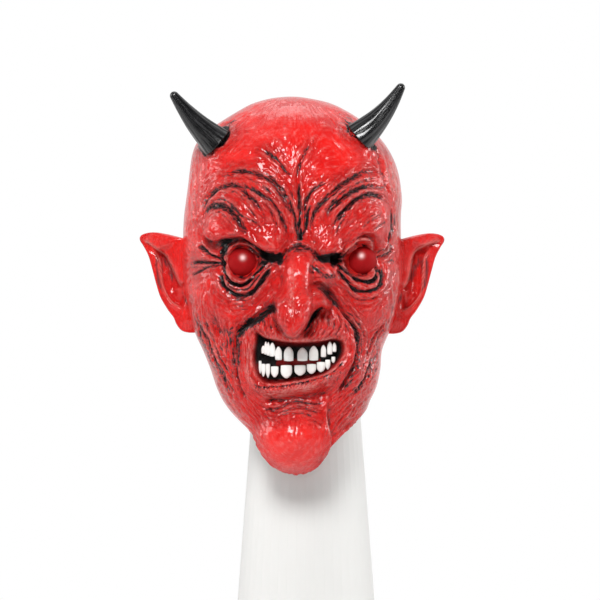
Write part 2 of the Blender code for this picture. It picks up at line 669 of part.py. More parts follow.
def build():
    for obj in list(bpy.data.objects):
        bpy.data.objects.remove(obj)
    latex = make_material("red_latex", (0.62, 0.03, 0.02), 0.35)
    black = make_material("black_horn", (0.015, 0.015, 0.018), 0.3)
    red = make_material("red_dome", (0.35, 0.01, 0.015), 0.15)
    white = make_material("white_stand", (0.85, 0.85, 0.83), 0.6)

    turns = section_turns()
    rows = head_rows()
    skin, form = head_skin(turns, rows)
    top = place(np.float64(291.5), np.float64(5.0), np.float64(DRAWN_TOP[1]))
    verts, faces = closed_from_grid(skin, top)
    tree = BVHTree.FromPolygons([Vector(v) for v in verts], faces)

    # where horns and eyes sit
    horns = {}
    for name, base, tip, bow in (("horn_left", (214, 140), (172.5, 93), 0.002),
                                 ("horn_right", (362.5, 134), (402.5, 84.5), -0.003)):
        base_depth = skin_depth(tree, base[0], base[1]) / STEP
        horns[name] = (place(np.float64(base[0]), np.float64(base_depth), np.float64(base[1])),
                       place(np.float64(tip[0]), np.float64(base_depth - 8),
                             np.float64(tip[1])), bow)
    eyes = {}
    for name, across, down in (("eye_left", 243, 262.5), ("eye_right", 360.5, 260.5)):
        rest = skin_depth(tree, across, down)
        eyes[name] = place(np.float64(across), np.float64(0), np.float64(down))
        eyes[name][1] = rest - 0.0085 + EYE_RADIUS

    seats = [(tuple(spot), EYE_RADIUS + SEAT_GAP + MASK_WALL) for spot in eyes.values()]
    for base, tip, bow in horns.values():
        axis = (Vector(tip) - Vector(base)).normalized()
        root = Vector(base) - axis * HORN_SEAT_DEPTH
        seats.append((tuple(root), HORN_BASE_RADIUS + SEAT_GAP + MASK_WALL * 0.8))

    mask = make_object("mask", verts, faces, latex)
    for side, mirrored in (("ear_l", False), ("ear_r", True)):
        combine(mask, make_ear(side, mirrored), 'UNION', side)
    faces_now = sum(len(p.vertices) - 2 for p in mask.data.polygons)
    finish_with(mask, "lighter", 'DECIMATE', ratio=4400 / faces_now)

    inner = inner_form(form, seats)
    (inner_verts, inner_faces), inner_top = add_inner(inner)
    cavity = make_object("cavity", inner_verts, inner_faces, None)
    finish_with(cavity, "lighter", 'DECIMATE', ratio=1900 / (2 * len(inner_faces)))
    combine(mask, cavity, 'DIFFERENCE', "cavity")

    teeth = []
    for across, top_edge, bottom_edge, wide in UPPER_TEETH:
        teeth.append(tooth_rings(tree, across, top_edge, bottom_edge, wide, 1))
    for across, top_edge, bottom_edge, wide in LOWER_TEETH:
        teeth.append(tooth_rings(tree, across, top_edge, bottom_edge, wide, -1))
    for number, rings in enumerate(teeth):
        combine(mask, loft("tooth", rings, None), 'UNION', "tooth")

    for name, (base, tip, bow) in horns.items():
        combine(mask, loft("seat", horn_rings(base, tip, bow, SEAT_GAP, 0.45), None),
                'DIFFERENCE', "seat")
        horn = loft(name, horn_rings(base, tip, bow, 0.0, 1.0), black)
        horn.data.shade_smooth()
        horn.data.set_sharp_from_angle(angle=math.radians(50))
    for name, centre in eyes.items():
        combine(mask, loft("seat", eye_rings(centre, SEAT_GAP), None), 'DIFFERENCE', "seat")
        eye = loft(name, eye_rings(centre, 0.0), red)
        eye.data.shade_smooth()
        eye.data.set_sharp_from_angle(angle=math.radians(50))
    mask.data.shade_smooth()
    mask.data.set_sharp_from_angle(angle=math.radians(40))

    # stand: low round foot, tapered post and a dome under the crown
    post_top = float(inner[0][:, 2].min()) - SEAT_GAP
    shoulder = post_radius(post_top)
    profile = [(FOOT_RADIUS - 0.0015, 0.0), (FOOT_RADIUS, 0.0015)]
    for turn in (0, 45, 90):
        a = math.radians(turn)
        profile.append((FOOT_RADIUS - FOOT_EDGE_ROUND * (1 - math.cos(a)),
                        FOOT_THICKNESS - FOOT_EDGE_ROUND * (1 - math.sin(a))))
    profile.append((post_radius(FOOT_THICKNESS) + 0.003, FOOT_THICKNESS))
    profile.append((post_radius(FOOT_THICKNESS + 0.003), FOOT_THICKNESS + 0.003))
    dome = shoulder * 0.8
    for turn in (0, 25, 48, 68, 84):
        a = math.radians(turn)
        profile.append((shoulder * math.cos(a), post_top - dome * (1 - math.sin(a))))
    rings = [[Vector((r * math.cos(2 * math.pi * j / POST_SIDES),
                      r * math.sin(2 * math.pi * j / POST_SIDES), z))
              for j in range(POST_SIDES)] for r, z in profile]
    stand = loft("display_stand", rings, white)
    stand.data.shade_smooth()
    stand.data.set_sharp_from_angle(angle=math.radians(50))


build()
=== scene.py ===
import math

import bmesh
import bpy
import numpy as np
from mathutils import Matrix, Vector, noise
from mathutils.bvhtree import BVHTree


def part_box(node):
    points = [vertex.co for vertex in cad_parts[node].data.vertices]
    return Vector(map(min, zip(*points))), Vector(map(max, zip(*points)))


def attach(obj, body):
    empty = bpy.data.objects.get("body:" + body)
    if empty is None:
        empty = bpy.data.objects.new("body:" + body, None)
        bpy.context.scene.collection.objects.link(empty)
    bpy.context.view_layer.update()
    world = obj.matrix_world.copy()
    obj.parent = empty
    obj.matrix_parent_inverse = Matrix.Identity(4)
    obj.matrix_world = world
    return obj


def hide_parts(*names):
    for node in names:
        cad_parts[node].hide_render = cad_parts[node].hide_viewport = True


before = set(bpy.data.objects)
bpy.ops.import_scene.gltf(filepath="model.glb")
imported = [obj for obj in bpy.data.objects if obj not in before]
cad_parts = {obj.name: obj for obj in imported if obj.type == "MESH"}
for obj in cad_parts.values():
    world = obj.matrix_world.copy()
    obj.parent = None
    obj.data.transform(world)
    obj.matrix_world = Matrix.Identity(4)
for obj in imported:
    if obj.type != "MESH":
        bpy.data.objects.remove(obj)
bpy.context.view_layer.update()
print("frame loaded:", ", ".join(sorted(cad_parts)))

# The face is drawn on a squared sheet seen from the front: (across, down) in steps,
# and depths in the same steps, negative towards the viewer.
sheetValues = {
    "step": 0.0009,          # metres to one step of the sheet
    "axis": 306.0,           # where the stand's axis stands on the sheet
    "floor": 650.0,          # the sheet line at the underside of the foot
    "crown": 96.5,
    "chin": 473.0,
    "level": 330.0,          # rows above this line are level, those below bend to the rim
}

maskValues = {
    "columns": 300,          # cells round the head
    "rows": 300,             # cells from crown to rim
    "wall": 0.0031,
    "postGap": 0.0012,
    "mouthDepth": 15.0,      # how far the gums lie behind the lips, in steps
    "coarseGrain": 3.4,      # height of the wrinkles, in steps
    "fineGrain": 2.2,        # height of the finest ones
    "liningRows": 26,
}

# (down, across) for the outlines, (down, depth) for the depths, (degrees, down) for the rim
leftOutline = (
    (96.5, 291), (98.5, 270), (101, 260), (104.5, 250), (110, 240), (119, 225), (130, 209), (144, 196),
    (155, 192), (168, 190), (185, 188), (200, 186), (215, 184), (235, 183), (285, 184), (310, 189),
    (335, 196), (350, 203), (370, 211), (390, 218), (400, 223), (410, 230), (420, 239), (430, 247),
    (445, 250), (460, 251), (475, 256))
rightOutline = (
    (96.5, 292), (99, 313), (101.5, 325), (105, 335), (110, 345), (118, 358), (128, 370), (138, 380),
    (152, 390), (168, 397), (188, 401), (200, 402), (215, 401), (235, 401), (260, 402), (280, 402),
    (305, 397), (330, 390), (350, 382), (370, 380), (390, 375), (400, 370), (410, 366), (420, 360),
    (430, 353), (445, 348), (460, 345), (475, 340))
frontDepth = (
    (96.5, 5), (98.5, -24), (101, -37), (104.5, -48), (110, -60), (119, -74), (130, -85), (144, -95),
    (160, -102), (180, -107), (200, -110), (235, -112), (262, -110), (300, -109), (340, -112),
    (380, -113), (410, -112), (440, -114), (455, -109), (465, -101), (475, -86))
backDepth = (
    (96.5, 5), (98.5, 38), (101, 52), (104.5, 65), (110, 78), (119, 93), (130, 105), (144, 115),
    (170, 126), (200, 129.9), (235, 128.9), (262, 124), (298, 112), (340, 94), (370, 80), (400, 70),
    (475, 66))
middleDepth = (
    (96.5, 5), (200, 8), (300, 5), (340, -5), (380, -15), (400, -22), (420, -36), (435, -48),
    (455, -60), (475, -64))
rimLine = (
    (-180, 399), (-130, 402), (-90, 414), (-60, 436), (-35, 459), (-15, 470), (0, 473), (15, 468),
    (35, 450), (60, 427), (90, 406), (130, 400), (180, 399))


def place(across, depth, down):
    step = sheetValues["step"]
    return np.stack([(across - sheetValues["axis"]) * step, depth * step,
                     (sheetValues["floor"] - down) * step], -1)


def spotAt(across, depth, down):
    return Vector(place(np.float64(across), np.float64(depth), np.float64(down)))


def smoothRead(knots, at, rooted=False):
    table = np.array(knots, float)
    spot, value = table[:, 0], table[:, 1]
    at = np.asarray(at, float)
    if rooted:                                   # keeps the crown round
        spot = np.sqrt(spot - spot[0])
        at = np.sqrt(np.maximum(at - table[0, 0], 0))
    slope = np.gradient(value, spot)
    i = np.clip(np.searchsorted(spot, at) - 1, 0, len(spot) - 2)
    span = spot[i + 1] - spot[i]
    s = np.clip((at - spot[i]) / span, 0, 1)
    return ((1 + 2 * s) * (1 - s) ** 2 * value[i] + s * (1 - s) ** 2 * span * slope[i]
            + s * s * (3 - 2 * s) * value[i + 1] + s * s * (s - 1) * span * slope[i + 1])


def eased(low, high, x):
    s = np.clip((x - low) / (high - low), 0, 1)
    return s * s * (3 - 2 * s)


def roundedPath(points, closed=False, steps=5):
    p = np.array(points, float)
    if closed:
        p = np.vstack([p[-1], p, p[0], p[1]])
    else:
        p = np.vstack([2 * p[0] - p[1], p, 2 * p[-1] - p[-2]])
    out = []
    for k in range(1, len(p) - 2):
        for t in np.arange(steps) / steps:
            out.append(0.5 * (2 * p[k] + (p[k + 1] - p[k - 1]) * t
                              + (2 * p[k - 1] - 5 * p[k] + 4 * p[k + 1] - p[k + 2]) * t * t
                              + (3 * p[k] - p[k - 1] - 3 * p[k + 1] + p[k + 2]) * t ** 3))
    out.append(p[-2])
    return np.array(out)


def between(first, last, count):
    a, b = np.array(first, float), np.array(last, float)
    return [a + (b - a) * k / (count - 1) for k in range(count)]


# Modelling strokes on a sheet: each moves the places near a line or a spot.

strokeValues = {
    "wander": 9.0, "ragged": 2.6,    # wavelengths of a line's slow and fine unevenness, in steps
    "drift": 0.4, "swell": 0.40, "fray": 0.22,       # and how strongly they move its edges
}


def noiseAt(x, y, z):
    return noise.noise(Vector((x, y, z)))


def runOf(path):
    # the length run along a path at each of its places
    return np.concatenate([[0], np.cumsum(np.hypot(*np.diff(path, axis=0).T))])


def newSheet(across, down, gate):
    n = across.size
    u, v = across.ravel(), down.ravel()
    slow, quick = strokeValues["wander"], strokeValues["ragged"]
    return {"u": u, "v": v, "gate": gate.ravel(), "lift": np.zeros(n), "form": np.zeros(n),
            "wash": np.zeros(n), "rub": np.zeros(n), "lay": np.zeros((n, 2)),
            "wander": np.array([noiseAt(x / slow, y / slow, 5.0) for x, y in zip(u, v)]),
            "ragged": np.array([noiseAt(x / quick, y / quick, 9.0) for x, y in zip(u, v)])}


def nearPath(s, path, reach):
    low, high = path.min(0) - reach, path.max(0) + reach
    inside = ((s["u"] > low[0]) & (s["u"] < high[0]) & (s["v"] > low[1])
              & (s["v"] < high[1]) & (s["gate"] > 0))
    return np.nonzero(inside)[0]


def measure(s, path, pick):
    # gap to the line, share of its length, side of it, and which way it runs
    best = np.full(pick.size, 1e9)
    share, side = np.zeros(pick.size), np.ones(pick.size)
    way = np.zeros((pick.size, 2))
    run = runOf(path)
    pu, pv = s["u"][pick], s["v"][pick]
    for k in range(len(path) - 1):
        a, d = path[k], path[k + 1] - path[k]
        size = max(d @ d, 1e-9)
        t = np.clip(((pu - a[0]) * d[0] + (pv - a[1]) * d[1]) / size, 0, 1)
        gap = np.hypot(pu - a[0] - t * d[0], pv - a[1] - t * d[1])
        closer = gap < best
        best[closer] = gap[closer]
        share[closer] = (run[k] + t[closer] * math.sqrt(size)) / run[-1]
        turn = d[0] * (pv - a[1]) - d[1] * (pu - a[0])
        side[closer] = np.where(turn[closer] < 0, 1, -1)
        way[closer] = ((d[0] ** 2 - d[1] ** 2) / size, 2 * d[0] * d[1] / size)
    return best, share, side, way


def alongLine(s, points, reach, blunt):
    # the places near a line: gap, side and run of each, and a fade at the line's ends
    path = roundedPath(points)
    pick = nearPath(s, path, reach)
    gap, share, side, way = measure(s, path, pick)
    return pick, gap, side, way, eased(0, blunt, share) * eased(0, blunt, 1 - share)


def insideOf(s, outline, reach):
    # the places near a closed outline, and how far inside it each one lies
    path = roundedPath(outline, closed=True)
    pick = nearPath(s, path, reach)
    gap, _, side, _ = measure(s, path, pick)
    return pick, -gap * side


def unsteady(s, pick, gap, side, width):
    # a hand-cut line: it wanders a little and its edges are uneven
    v, wander = strokeValues, s["wander"][pick]
    drift = np.abs(gap * side + v["drift"] * width * wander)
    return drift / (1 + v["swell"] * wander + v["fray"] * s["ragged"][pick]).clip(0.5, 2)


def layGrain(s, pick, gap, way, weight, reach=9.0):
    s["lay"][pick] += way * (weight * np.exp(-(gap / reach) ** 2))[:, None]


def raiseTo(values, pick, least):
    values[pick] = np.maximum(values[pick], least)


def ovalShare(s, across, down, wide, high, turn):
    # 1 in the middle of a turned oval, 0 at its edge
    c, n = math.cos(math.radians(turn)), math.sin(math.radians(turn))
    x, y = s["u"] - across, s["v"] - down
    r = ((x * c + y * n) / wide) ** 2 + ((y * c - x * n) / high) ** 2
    return np.maximum(1 - r, 0)


def bump(s, across, down, wide, high, lift, turn=0.0):
    s["lift"] += lift * ovalShare(s, across, down, wide, high, turn) ** 2 * s["gate"]


def stainAndShade(s, across, down, wide, high, amount, turn=0.0):
    # a dark spot: wash, or painted shade where it sits in a corner or hollow
    dark = amount * ovalShare(s, across, down, wide, high, turn) ** 0.8 * s["gate"]
    s["wash"] = np.maximum(s["wash"], dark)


def brushLine(s, points, width, amount, blunt):
    # dark paint alone, laid along a line; some of these lines are painted shade
    pick, gap, side, way, fade = alongLine(s, points, 3 * width + 2, blunt)
    uneven = unsteady(s, pick, gap, side, width)
    raiseTo(s["wash"], pick, amount * np.exp(-(uneven / width) ** 2) * fade)
    layGrain(s, pick, gap, way, 0.5, 5.0)


def rubAndHighlightLine(s, points, width, amount, blunt):
    # the paint rubbed pale along a line; many such lines are painted highlight and sheen
    pick, gap, _, way, fade = alongLine(s, points, 3 * width + 2, blunt)
    raiseTo(s["rub"], pick, amount * np.exp(-(gap / width) ** 2) * fade)
    layGrain(s, pick, gap, way, 0.4, 4.0)


def hairs(s, points, reach, count, amount, seed, width=0.75, stroke=brushLine):
    # fine loose brush streaks either side of a line, dark ones of wash or pale ones of rubbing and
    # painted highlight
    pick = np.random.default_rng(seed)
    path = roundedPath(points)
    for _ in range(count):
        first = pick.uniform(0, 0.55)
        last = first + pick.uniform(0.25, 0.45)
        piece = path[int(first * (len(path) - 1)):int(min(last, 1) * (len(path) - 1)) + 1:3]
        if len(piece) > 2:
            off = pick.normal(0, reach, 2)
            stroke(s, [tuple(p + off) for p in piece], width, amount * pick.uniform(0.5, 1), 0.3)


def fold(s, points, width, depth, lip, paint, blunt=0.15, sharp=1.5, spread=1.3):
    # a valley with a raised lip either side, or a roll where the depth is negative
    pick, gap, side, way, fade = alongLine(s, points, 18, blunt)
    if depth > 0:
        gap = unsteady(s, pick, gap, side, width)
    cut = -depth * np.exp(-(gap / width) ** sharp)
    cut += lip * np.exp(-((gap - 2.2 * width) / width) ** 2)
    s["lift"][pick] += cut * fade * s["gate"][pick]
    raiseTo(s["wash"], pick, paint * np.exp(-(gap / (spread * width)) ** 2) * fade)
    layGrain(s, pick, gap, way, min(abs(depth), 3) * (0.2 + 0.8 * fade))


def ledge(s, points, over, under, reachOver, reachUnder, edge, blunt, paint, paintReach):
    # the skin stands out on one side of a line and lies in on the other
    pick, gap, side, way, fade = alongLine(s, points, 3 * max(reachOver, reachUnder), blunt)
    mix = 0.5 + 0.5 * np.tanh(side * gap / edge)
    change = (over * np.exp(-(gap / reachOver) ** 2) * mix
              - under * np.exp(-(gap / reachUnder) ** 2) * (1 - mix)) * fade * s["gate"][pick]
    s["lift"][pick] += change
    s["form"][pick] += change
    # the low side is darkened: painted shade under the raised side
    raiseTo(s["wash"], pick, paint * np.exp(-(gap / paintReach) ** 2) * (1 - mix) * fade)
    layGrain(s, pick, gap, way, 1.0)


def pad(s, outline, tops, radius, steep, rounding, blend=2.0):
    # a cushion inside a closed outline; tops and steep are knots of (down, height or slope)
    pick, gap = insideOf(s, outline, 16)
    v = s["v"][pick]
    curve = 1 - np.sqrt(1 - np.clip(1 - gap / radius, 0, 1) ** 2)
    wall = np.interp(v, [k[0] for k in steep], [k[1] for k in steep])
    rise = smoothRead(tops, v) - radius * rounding * curve - np.maximum(-gap, 0) * wall
    over = rise - s["lift"][pick]
    change = over * (0.5 + 0.5 * np.tanh(over / blend)) * s["gate"][pick]
    s["lift"][pick] += change
    s["form"][pick] += change


# The face. Bumps, and dark spots that are partly paint and partly painted shade in the eye corners,
# under the brows and under the lower lip: across, down, wide, high, height or amount, and a turn.

faceForms = (
    (250, 212, 58, 40, 7), (347, 212, 52, 38, 7), (273, 240, 21, 18, 8), (224, 228, 25, 18, 5),
    (326, 242, 23, 18, 8), (371, 225, 25, 26, 7), (243, 262, 34, 23, -9), (361, 262, 30, 23, -9),
    (275, 259, 15, 10, -7), (331, 258, 18, 10, -7), (216, 300, 38, 42, 6), (380, 300, 30, 42, 6),
    (218, 326, 10, 24, -4, -8), (297, 350, 68, 54, 9), (262, 320, 24, 17, 6), (326, 324, 26, 19, 6),
    (293, 437, 43, 38, 17), (353, 370, 12, 22, 5), (214, 140, 30, 30, 5), (362, 133, 30, 30, 5))

stainsAndShade = (
    (212, 154, 7, 5, 0.7), (196, 264, 7, 5, 0.62), (269, 257, 15, 7, 1.7, 14),
    (331, 258, 18, 6, 1.7, -6), (280, 259, 5, 8, 1.5), (336, 262, 9, 5, 1.4, -40),
    (316, 270, 11, 7, 0.8), (326, 276, 10, 3.5, 0.8), (298, 250, 13, 4, 0.75),
    (251, 244, 11, 4, 0.5, 30), (303, 398, 24, 3.5, 0.25), (391, 262, 5, 4, 0.45),
    (224, 252, 8, 6, 1.5, -55), (264, 263, 11, 4, 1.4, -38), (338, 258, 10, 5, 1.3, 30),
    (234, 246, 10, 3, 0.9, -20), (300, 238, 4, 12, 1.2))

# Folds of the brow: width, depth, paint, reach of the paint, line.
browFolds = {
    "left": (
        (1.8, 3.2, 0.62, 2.1, ((211, 182), (225, 176), (240, 173), (250, 173.5), (260, 177),
         (270, 182.5), (277, 189), (283, 198), (289, 209), (294, 219), (297, 229), (299, 240))),
        (1.2, 2.0, 0.80, 1.2, ((256, 170), (264, 173), (271, 178), (278, 185), (285, 194), (291, 205),
         (296, 220), (298, 236))),
        (1.6, 3.0, 0.80, 1.5, ((235, 183.5), (246, 187), (255, 192), (264, 197.5), (271, 202.5),
         (278, 211), (283, 221), (287, 233), (290, 242))),
        (2.1, 3.4, 0.66, 1.9, ((203, 224), (204.5, 212), (209, 200), (219, 190.5), (232, 187),
         (243, 189.5), (250, 197), (257, 205), (262, 212), (266, 221), (269, 231))),
        (1.0, 1.8, 0.70, 1.2, ((207, 210), (213, 203.5), (222, 201), (228, 201.5), (234, 205.5),
         (239, 210.5), (243, 216), (249, 220), (256, 223), (262, 229), (267, 237))),
        (2.8, 3.6, 0.86, 1.4, ((205, 225), (207, 214), (213, 208), (220, 206.5), (228, 208.5),
         (234, 212), (239, 218), (244, 225.5), (248, 233), (252, 240))),
        (1.2, 1.8, 0.55, 1.3, ((261, 201), (268, 208), (273, 216), (277, 227), (280, 237))),
        (1.0, 1.4, 0.55, 1.2, ((243, 201), (248, 207), (254, 214), (259, 222), (263, 230))),
        (0.9, 1.2, 0.40, 1.2, ((228, 193), (238, 194), (245, 199), (250, 206), (254, 212))),
        (0.9, 1.2, 0.45, 1.2, ((238, 176.5), (250, 180), (261, 186), (269, 192), (277, 200),
         (284, 212))),
        (0.9, 1.1, 0.35, 1.2, ((215, 214), (224, 214), (231, 219), (236, 227), (241, 235))),
    ),
    "right": (
        (2.0, 3.2, 0.68, 2.0, ((385, 178.5), (378, 174), (370, 172.5), (362, 174), (353, 179),
         (344, 184), (336, 190), (329, 198), (320, 206), (314, 214), (311, 222), (309, 232),
         (307, 241))),
        (1.5, 2.6, 0.80, 1.3, ((334, 180), (326, 183), (318, 187.5), (311, 194), (307, 202), (305, 211),
         (304, 223), (303, 236))),
        (1.0, 1.6, 0.50, 1.2, ((382, 184), (372, 181.5), (362, 183), (352, 187.5), (343, 193),
         (335, 200), (327, 209), (321, 219))),
        (2.1, 3.0, 0.80, 1.8, ((387, 196), (381, 190), (371, 187.5), (362, 188.5), (352, 192.5),
         (344, 197.5), (337, 203), (330, 209), (325, 218), (322, 228))),
        (2.2, 3.6, 0.86, 1.5, ((388, 208), (382, 200), (374, 196.5), (366, 195.5), (358, 198.5),
         (350, 203.5), (344, 210), (338, 217.5), (333, 226), (330, 236))),
        (1.6, 3.0, 0.85, 1.3, ((389, 205), (390, 218), (389.5, 234), (386, 246), (380, 252.5),
         (373, 255))),
        (1.0, 1.3, 0.35, 1.2, ((379, 214), (370, 219), (361, 226), (354, 231))),
        (0.9, 1.2, 0.45, 1.2, ((382, 221), (374, 226), (366, 233))),
        (1.0, 1.6, 0.50, 1.2, ((345, 216), (340, 223), (336, 231), (334, 239))),
        (0.9, 1.2, 0.40, 1.2, ((356, 183), (346, 189), (337, 196), (329, 204), (322, 213))),
    ),
    "between": (
        (1.8, 2.6, 0.62, 1.6, ((259, 149.5), (268, 154), (276, 160.5), (283, 168.5), (289, 176),
         (294, 181))),
        (1.6, 2.4, 0.62, 1.5, ((311, 143), (306, 151.5), (302, 160), (299, 168), (297, 176),
         (294, 181))),
        (1.7, 3.4, 0.85, 1.3, ((297.5, 178), (299, 190), (299.5, 202), (299.5, 216), (299, 229),
         (299.5, 244))),
        (1.4, 2.6, 0.75, 1.4, ((309, 192), (305, 203), (302, 212), (299.5, 221))),
        (1.4, 2.4, 0.75, 1.3, ((287, 198), (291, 207), (295, 216), (299, 221))),
        (1.5, 2.6, 0.85, 1.3, ((312, 203), (308, 214), (306.5, 225), (302, 239))),
        (1.1, 1.6, 0.45, 1.2, ((289, 186), (292.5, 197), (294.5, 206))),
        (1.3, 2.0, 0.65, 1.3, ((293, 212), (295.5, 222), (297, 232), (298, 240))),
    ),
}

# Folds round the eyes, of the cheeks and of the chin: width, depth, paint, line.
eyeFolds = (
    (1.4, 3.2, 0.80, ((199, 245), (205, 250.5), (213, 256), (225, 260))),
    (1.4, 3.0, 0.85, ((191, 263), (201, 262.5), (210, 263.5), (225, 263.5))),
    (1.0, 2.2, 0.65, ((192, 276), (200, 272), (210, 267.5), (224, 266))),
    (1.7, 3.4, 1.0, ((224, 249), (221.5, 256), (223, 265), (226.5, 274), (232.5, 281.5), (240.5, 285),
     (248.5, 282.5), (255, 275), (262, 267.5), (270, 263.5))),
    (1.9, 3.6, 0.95, ((222, 270), (224, 279), (228, 287), (234, 293), (241, 296), (249, 294.5),
     (256, 289), (262, 281), (267, 273), (274, 266))),
    (0.9, 1.6, 0.75, ((228, 281), (234, 287.5), (241, 290), (249, 288.5), (256, 281), (262, 273))),
    (1.0, 1.2, 0.30, ((228, 291), (236, 299), (246, 300.5), (256, 296))),
    (1.0, 1.2, 0.45, ((252, 283), (259, 276), (266, 269), (274, 264))),
    (1.8, 3.4, 0.95, ((334, 262), (341, 267.5), (348, 273), (355, 278), (364, 282), (371, 280),
     (375.5, 272), (376, 262))),
    (1.8, 3.6, 0.80, ((335, 266), (341, 275), (346, 282), (353, 288.5), (362, 292), (370, 290),
     (376, 285), (379.5, 276), (378, 264))),
    (1.0, 1.2, 0.30, ((345, 289), (354, 298), (365, 300), (375, 295))),
    (1.2, 1.8, 0.45, ((378, 258), (384, 256), (390, 251), (392, 243))),
)
cheekFolds = (
    (1.4, 2.6, 0.62, ((192, 299), (197, 314), (201, 328), (204, 343), (207, 358))),
    (1.4, 2.8, 0.66, ((197, 302), (200, 313), (204, 328), (209, 340), (213, 352), (218, 363),
     (223, 373), (228, 385), (233, 397), (239, 408))),
    (1.0, 1.8, 0.50, ((194.5, 306), (199, 322), (203.5, 338), (208, 352), (214, 366), (221, 380))),
    (1.0, 1.7, 0.35, ((206, 312), (211, 328), (215, 343), (221, 357), (228, 370), (235, 384))),
    (1.1, 1.6, 0.40, ((216, 352), (221, 364), (227, 376), (233, 389), (240, 401))),
    (1.0, 1.4, 0.45, ((232, 350), (234, 360), (236, 370), (239, 382), (243, 394))),
    (2.6, 1.6, 0.30, ((214, 312), (216.5, 324), (220, 338))),
    (1.4, 2.2, 0.40, ((393, 292), (390, 306), (385, 321), (378.5, 334), (375, 346))),
    (1.6, 2.8, 0.66, ((374, 352), (367.5, 368), (362, 381), (355, 390), (346, 398))),
    (1.0, 1.6, 0.35, ((385, 312), (379, 325), (373, 336), (368, 350), (361, 364))),
    (1.0, 1.4, 0.35, ((380, 336), (377, 350), (372, 364), (366, 378), (360, 390))),
    (1.1, 1.6, 0.45, ((343, 316), (350, 322), (356, 330), (360.5, 338))),
    (1.0, 1.3, 0.30, ((346, 312), (355, 320), (362, 331), (366, 342))),
)
chinFolds = (
    (1.3, 2.0, 0.45, ((258, 402), (268, 408), (279, 407), (289, 402.5), (299, 401), (309, 403),
     (318, 402), (327, 400))),
    (1.1, 1.8, 0.50, ((266, 404), (276, 411), (286, 409.5), (296, 406.5), (306, 407.5), (315, 411),
     (323, 413))),
    (1.0, 1.5, 0.40, ((279, 415.5), (288, 412.5), (297, 411.5), (306, 413), (313, 416.5))),
    (0.9, 1.4, 0.35, ((290, 404.5), (299, 405), (309, 405.5), (320, 407.5))),
    (0.9, 1.2, 0.25, ((263, 411), (270, 417), (278, 420), (284, 424))),
    (0.9, 1.2, 0.20, ((308, 419), (315, 421.5), (321, 426))),
)

# Single folds: width, depth, lip, paint, line. Fans: count, the same, first and last line.
singleFolds = (
    (5.5, -4, 0, 0, ((252, 366), (259, 386), (280, 390), (302, 388), (322, 381), (340, 364))),
    # the hollow under the lower lip is painted a little dark: painted shade
    (4.6, 5.5, 0.3, 0.20, ((262, 400), (278, 399.5), (296, 397), (312, 395), (332, 389))),
    (1.2, 2, 0.8, 0.5, ((229, 124), (230, 132), (229, 140), (224, 147), (214, 151), (205, 149))),
    (1.0, 1.8, 0.8, 0.8, ((347, 119), (346, 127), (350, 132), (348, 138), (356, 141), (368, 146))),
    (1.6, 1.8, 0.7, 0.3, ((376, 148), (378, 158), (381, 170), (385, 184), (388, 198))),
)
fannedFolds = (
    (5, 1.1, 1.3, 0.5, 0.2, ((352, 398), (344, 412), (336, 426), (331, 442)),
     ((368, 392), (362, 404), (354, 416), (342, 432))),
    (5, 1.0, 1.5, 0.6, 0.3, ((256, 324), (257, 329), (259, 333)),
     ((274, 315), (277, 326), (280, 337))),
    (6, 1.0, 1.6, 0.6, 0.35, ((313, 321), (309, 330), (303, 338)),
     ((335, 312), (338, 324), (332, 337))),
)

# Ledges: over, under, their reaches, edge, blunt ends, paint, its reach, line. The paint is painted
# shade on the low side, under the brows and beside the nasolabial folds.
browLedges = (
    (9, 7, 13, 9, 0.9, 0.12, 0.8, 6, ((203, 229), (210, 237), (218, 242), (230, 239), (243, 238),
     (252, 243), (262, 250), (272, 255.5), (281, 256), (290, 246))),
    (9, 7, 12, 8, 0.9, 0.2, 0.8, 5, ((311, 246), (320, 256.5), (328, 258), (337, 254.5), (346, 250.5))),
    (4.5, 4.0, 9, 6, 1.8, 0.22, 0.25, 3, ((341, 252), (350, 247), (354, 240), (361, 234.5),
     (368, 236.5), (373, 243.5), (378, 251), (385, 248), (390, 236))),
)
cheekLedges = (
    (5, 9, 14, 4.2, 0.9, 0.12, 0.62, 6.0, ((277, 303), (265, 314), (250, 325), (239, 335), (240, 352),
     (240, 368), (243, 384), (249, 400))),
    (4, 8, 13, 3.6, 0.9, 0.12, 0.6, 5.0, ((334, 394), (343, 378), (350, 360), (353, 344), (351, 328),
     (341, 314), (331, 298), (320, 288), (309, 290))),
    (-4.5, -2.5, 6, 9, 1.2, 0.3, 0, 3, ((331, 396), (327.5, 404), (327, 414), (328.5, 426),
     (330.5, 437), (328.5, 449), (323, 460))),
)

# Rolls of the lids: width, height, line.
lidRolls = (
    (1.9, 5.5, ((224.5, 264), (227, 254), (232.5, 247), (240, 243.5), (248, 245.5), (256, 251.5),
     (263, 258.5), (269, 263))),
    (1.6, 4.6, ((225, 263), (228, 272), (233.5, 279), (241, 282), (249, 279.5), (256, 272.5),
     (261, 267), (267, 263))),
    (1.6, 5.5, ((339, 263), (345, 251.5), (352, 243.5), (361, 239.5), (368, 243), (373.5, 252),
     (375, 264))),
    (1.7, 5.0, ((338, 263), (346, 270), (353, 276), (361, 279), (368, 277.5), (373, 271),
     (374.5, 262))),
)

noseLines = {
    "bridge": ((285, 253), (294, 247.5), (300, 246.5), (306, 247.5), (315, 253)),
    "bulb": ((289, 246), (300, 243), (313, 247), (315, 256), (311, 266), (310, 276), (310, 286),
        (312, 297), (311.5, 307), (308.5, 317), (305, 325), (300, 332.5), (293, 336), (286.5, 334),
        (281.5, 328), (278, 320), (276, 311), (275.5, 303), (277.5, 297), (282.5, 291.5), (285, 285),
        (286, 275), (285.5, 265), (287, 255)),
    "wing": ((303, 292), (309, 289), (315, 287.5), (321, 290.5), (325, 295.5), (327.3, 302),
        (326, 307.5), (321.5, 307), (317, 308.5), (312.5, 312.5), (309, 317), (302, 318), (299, 305)),
}
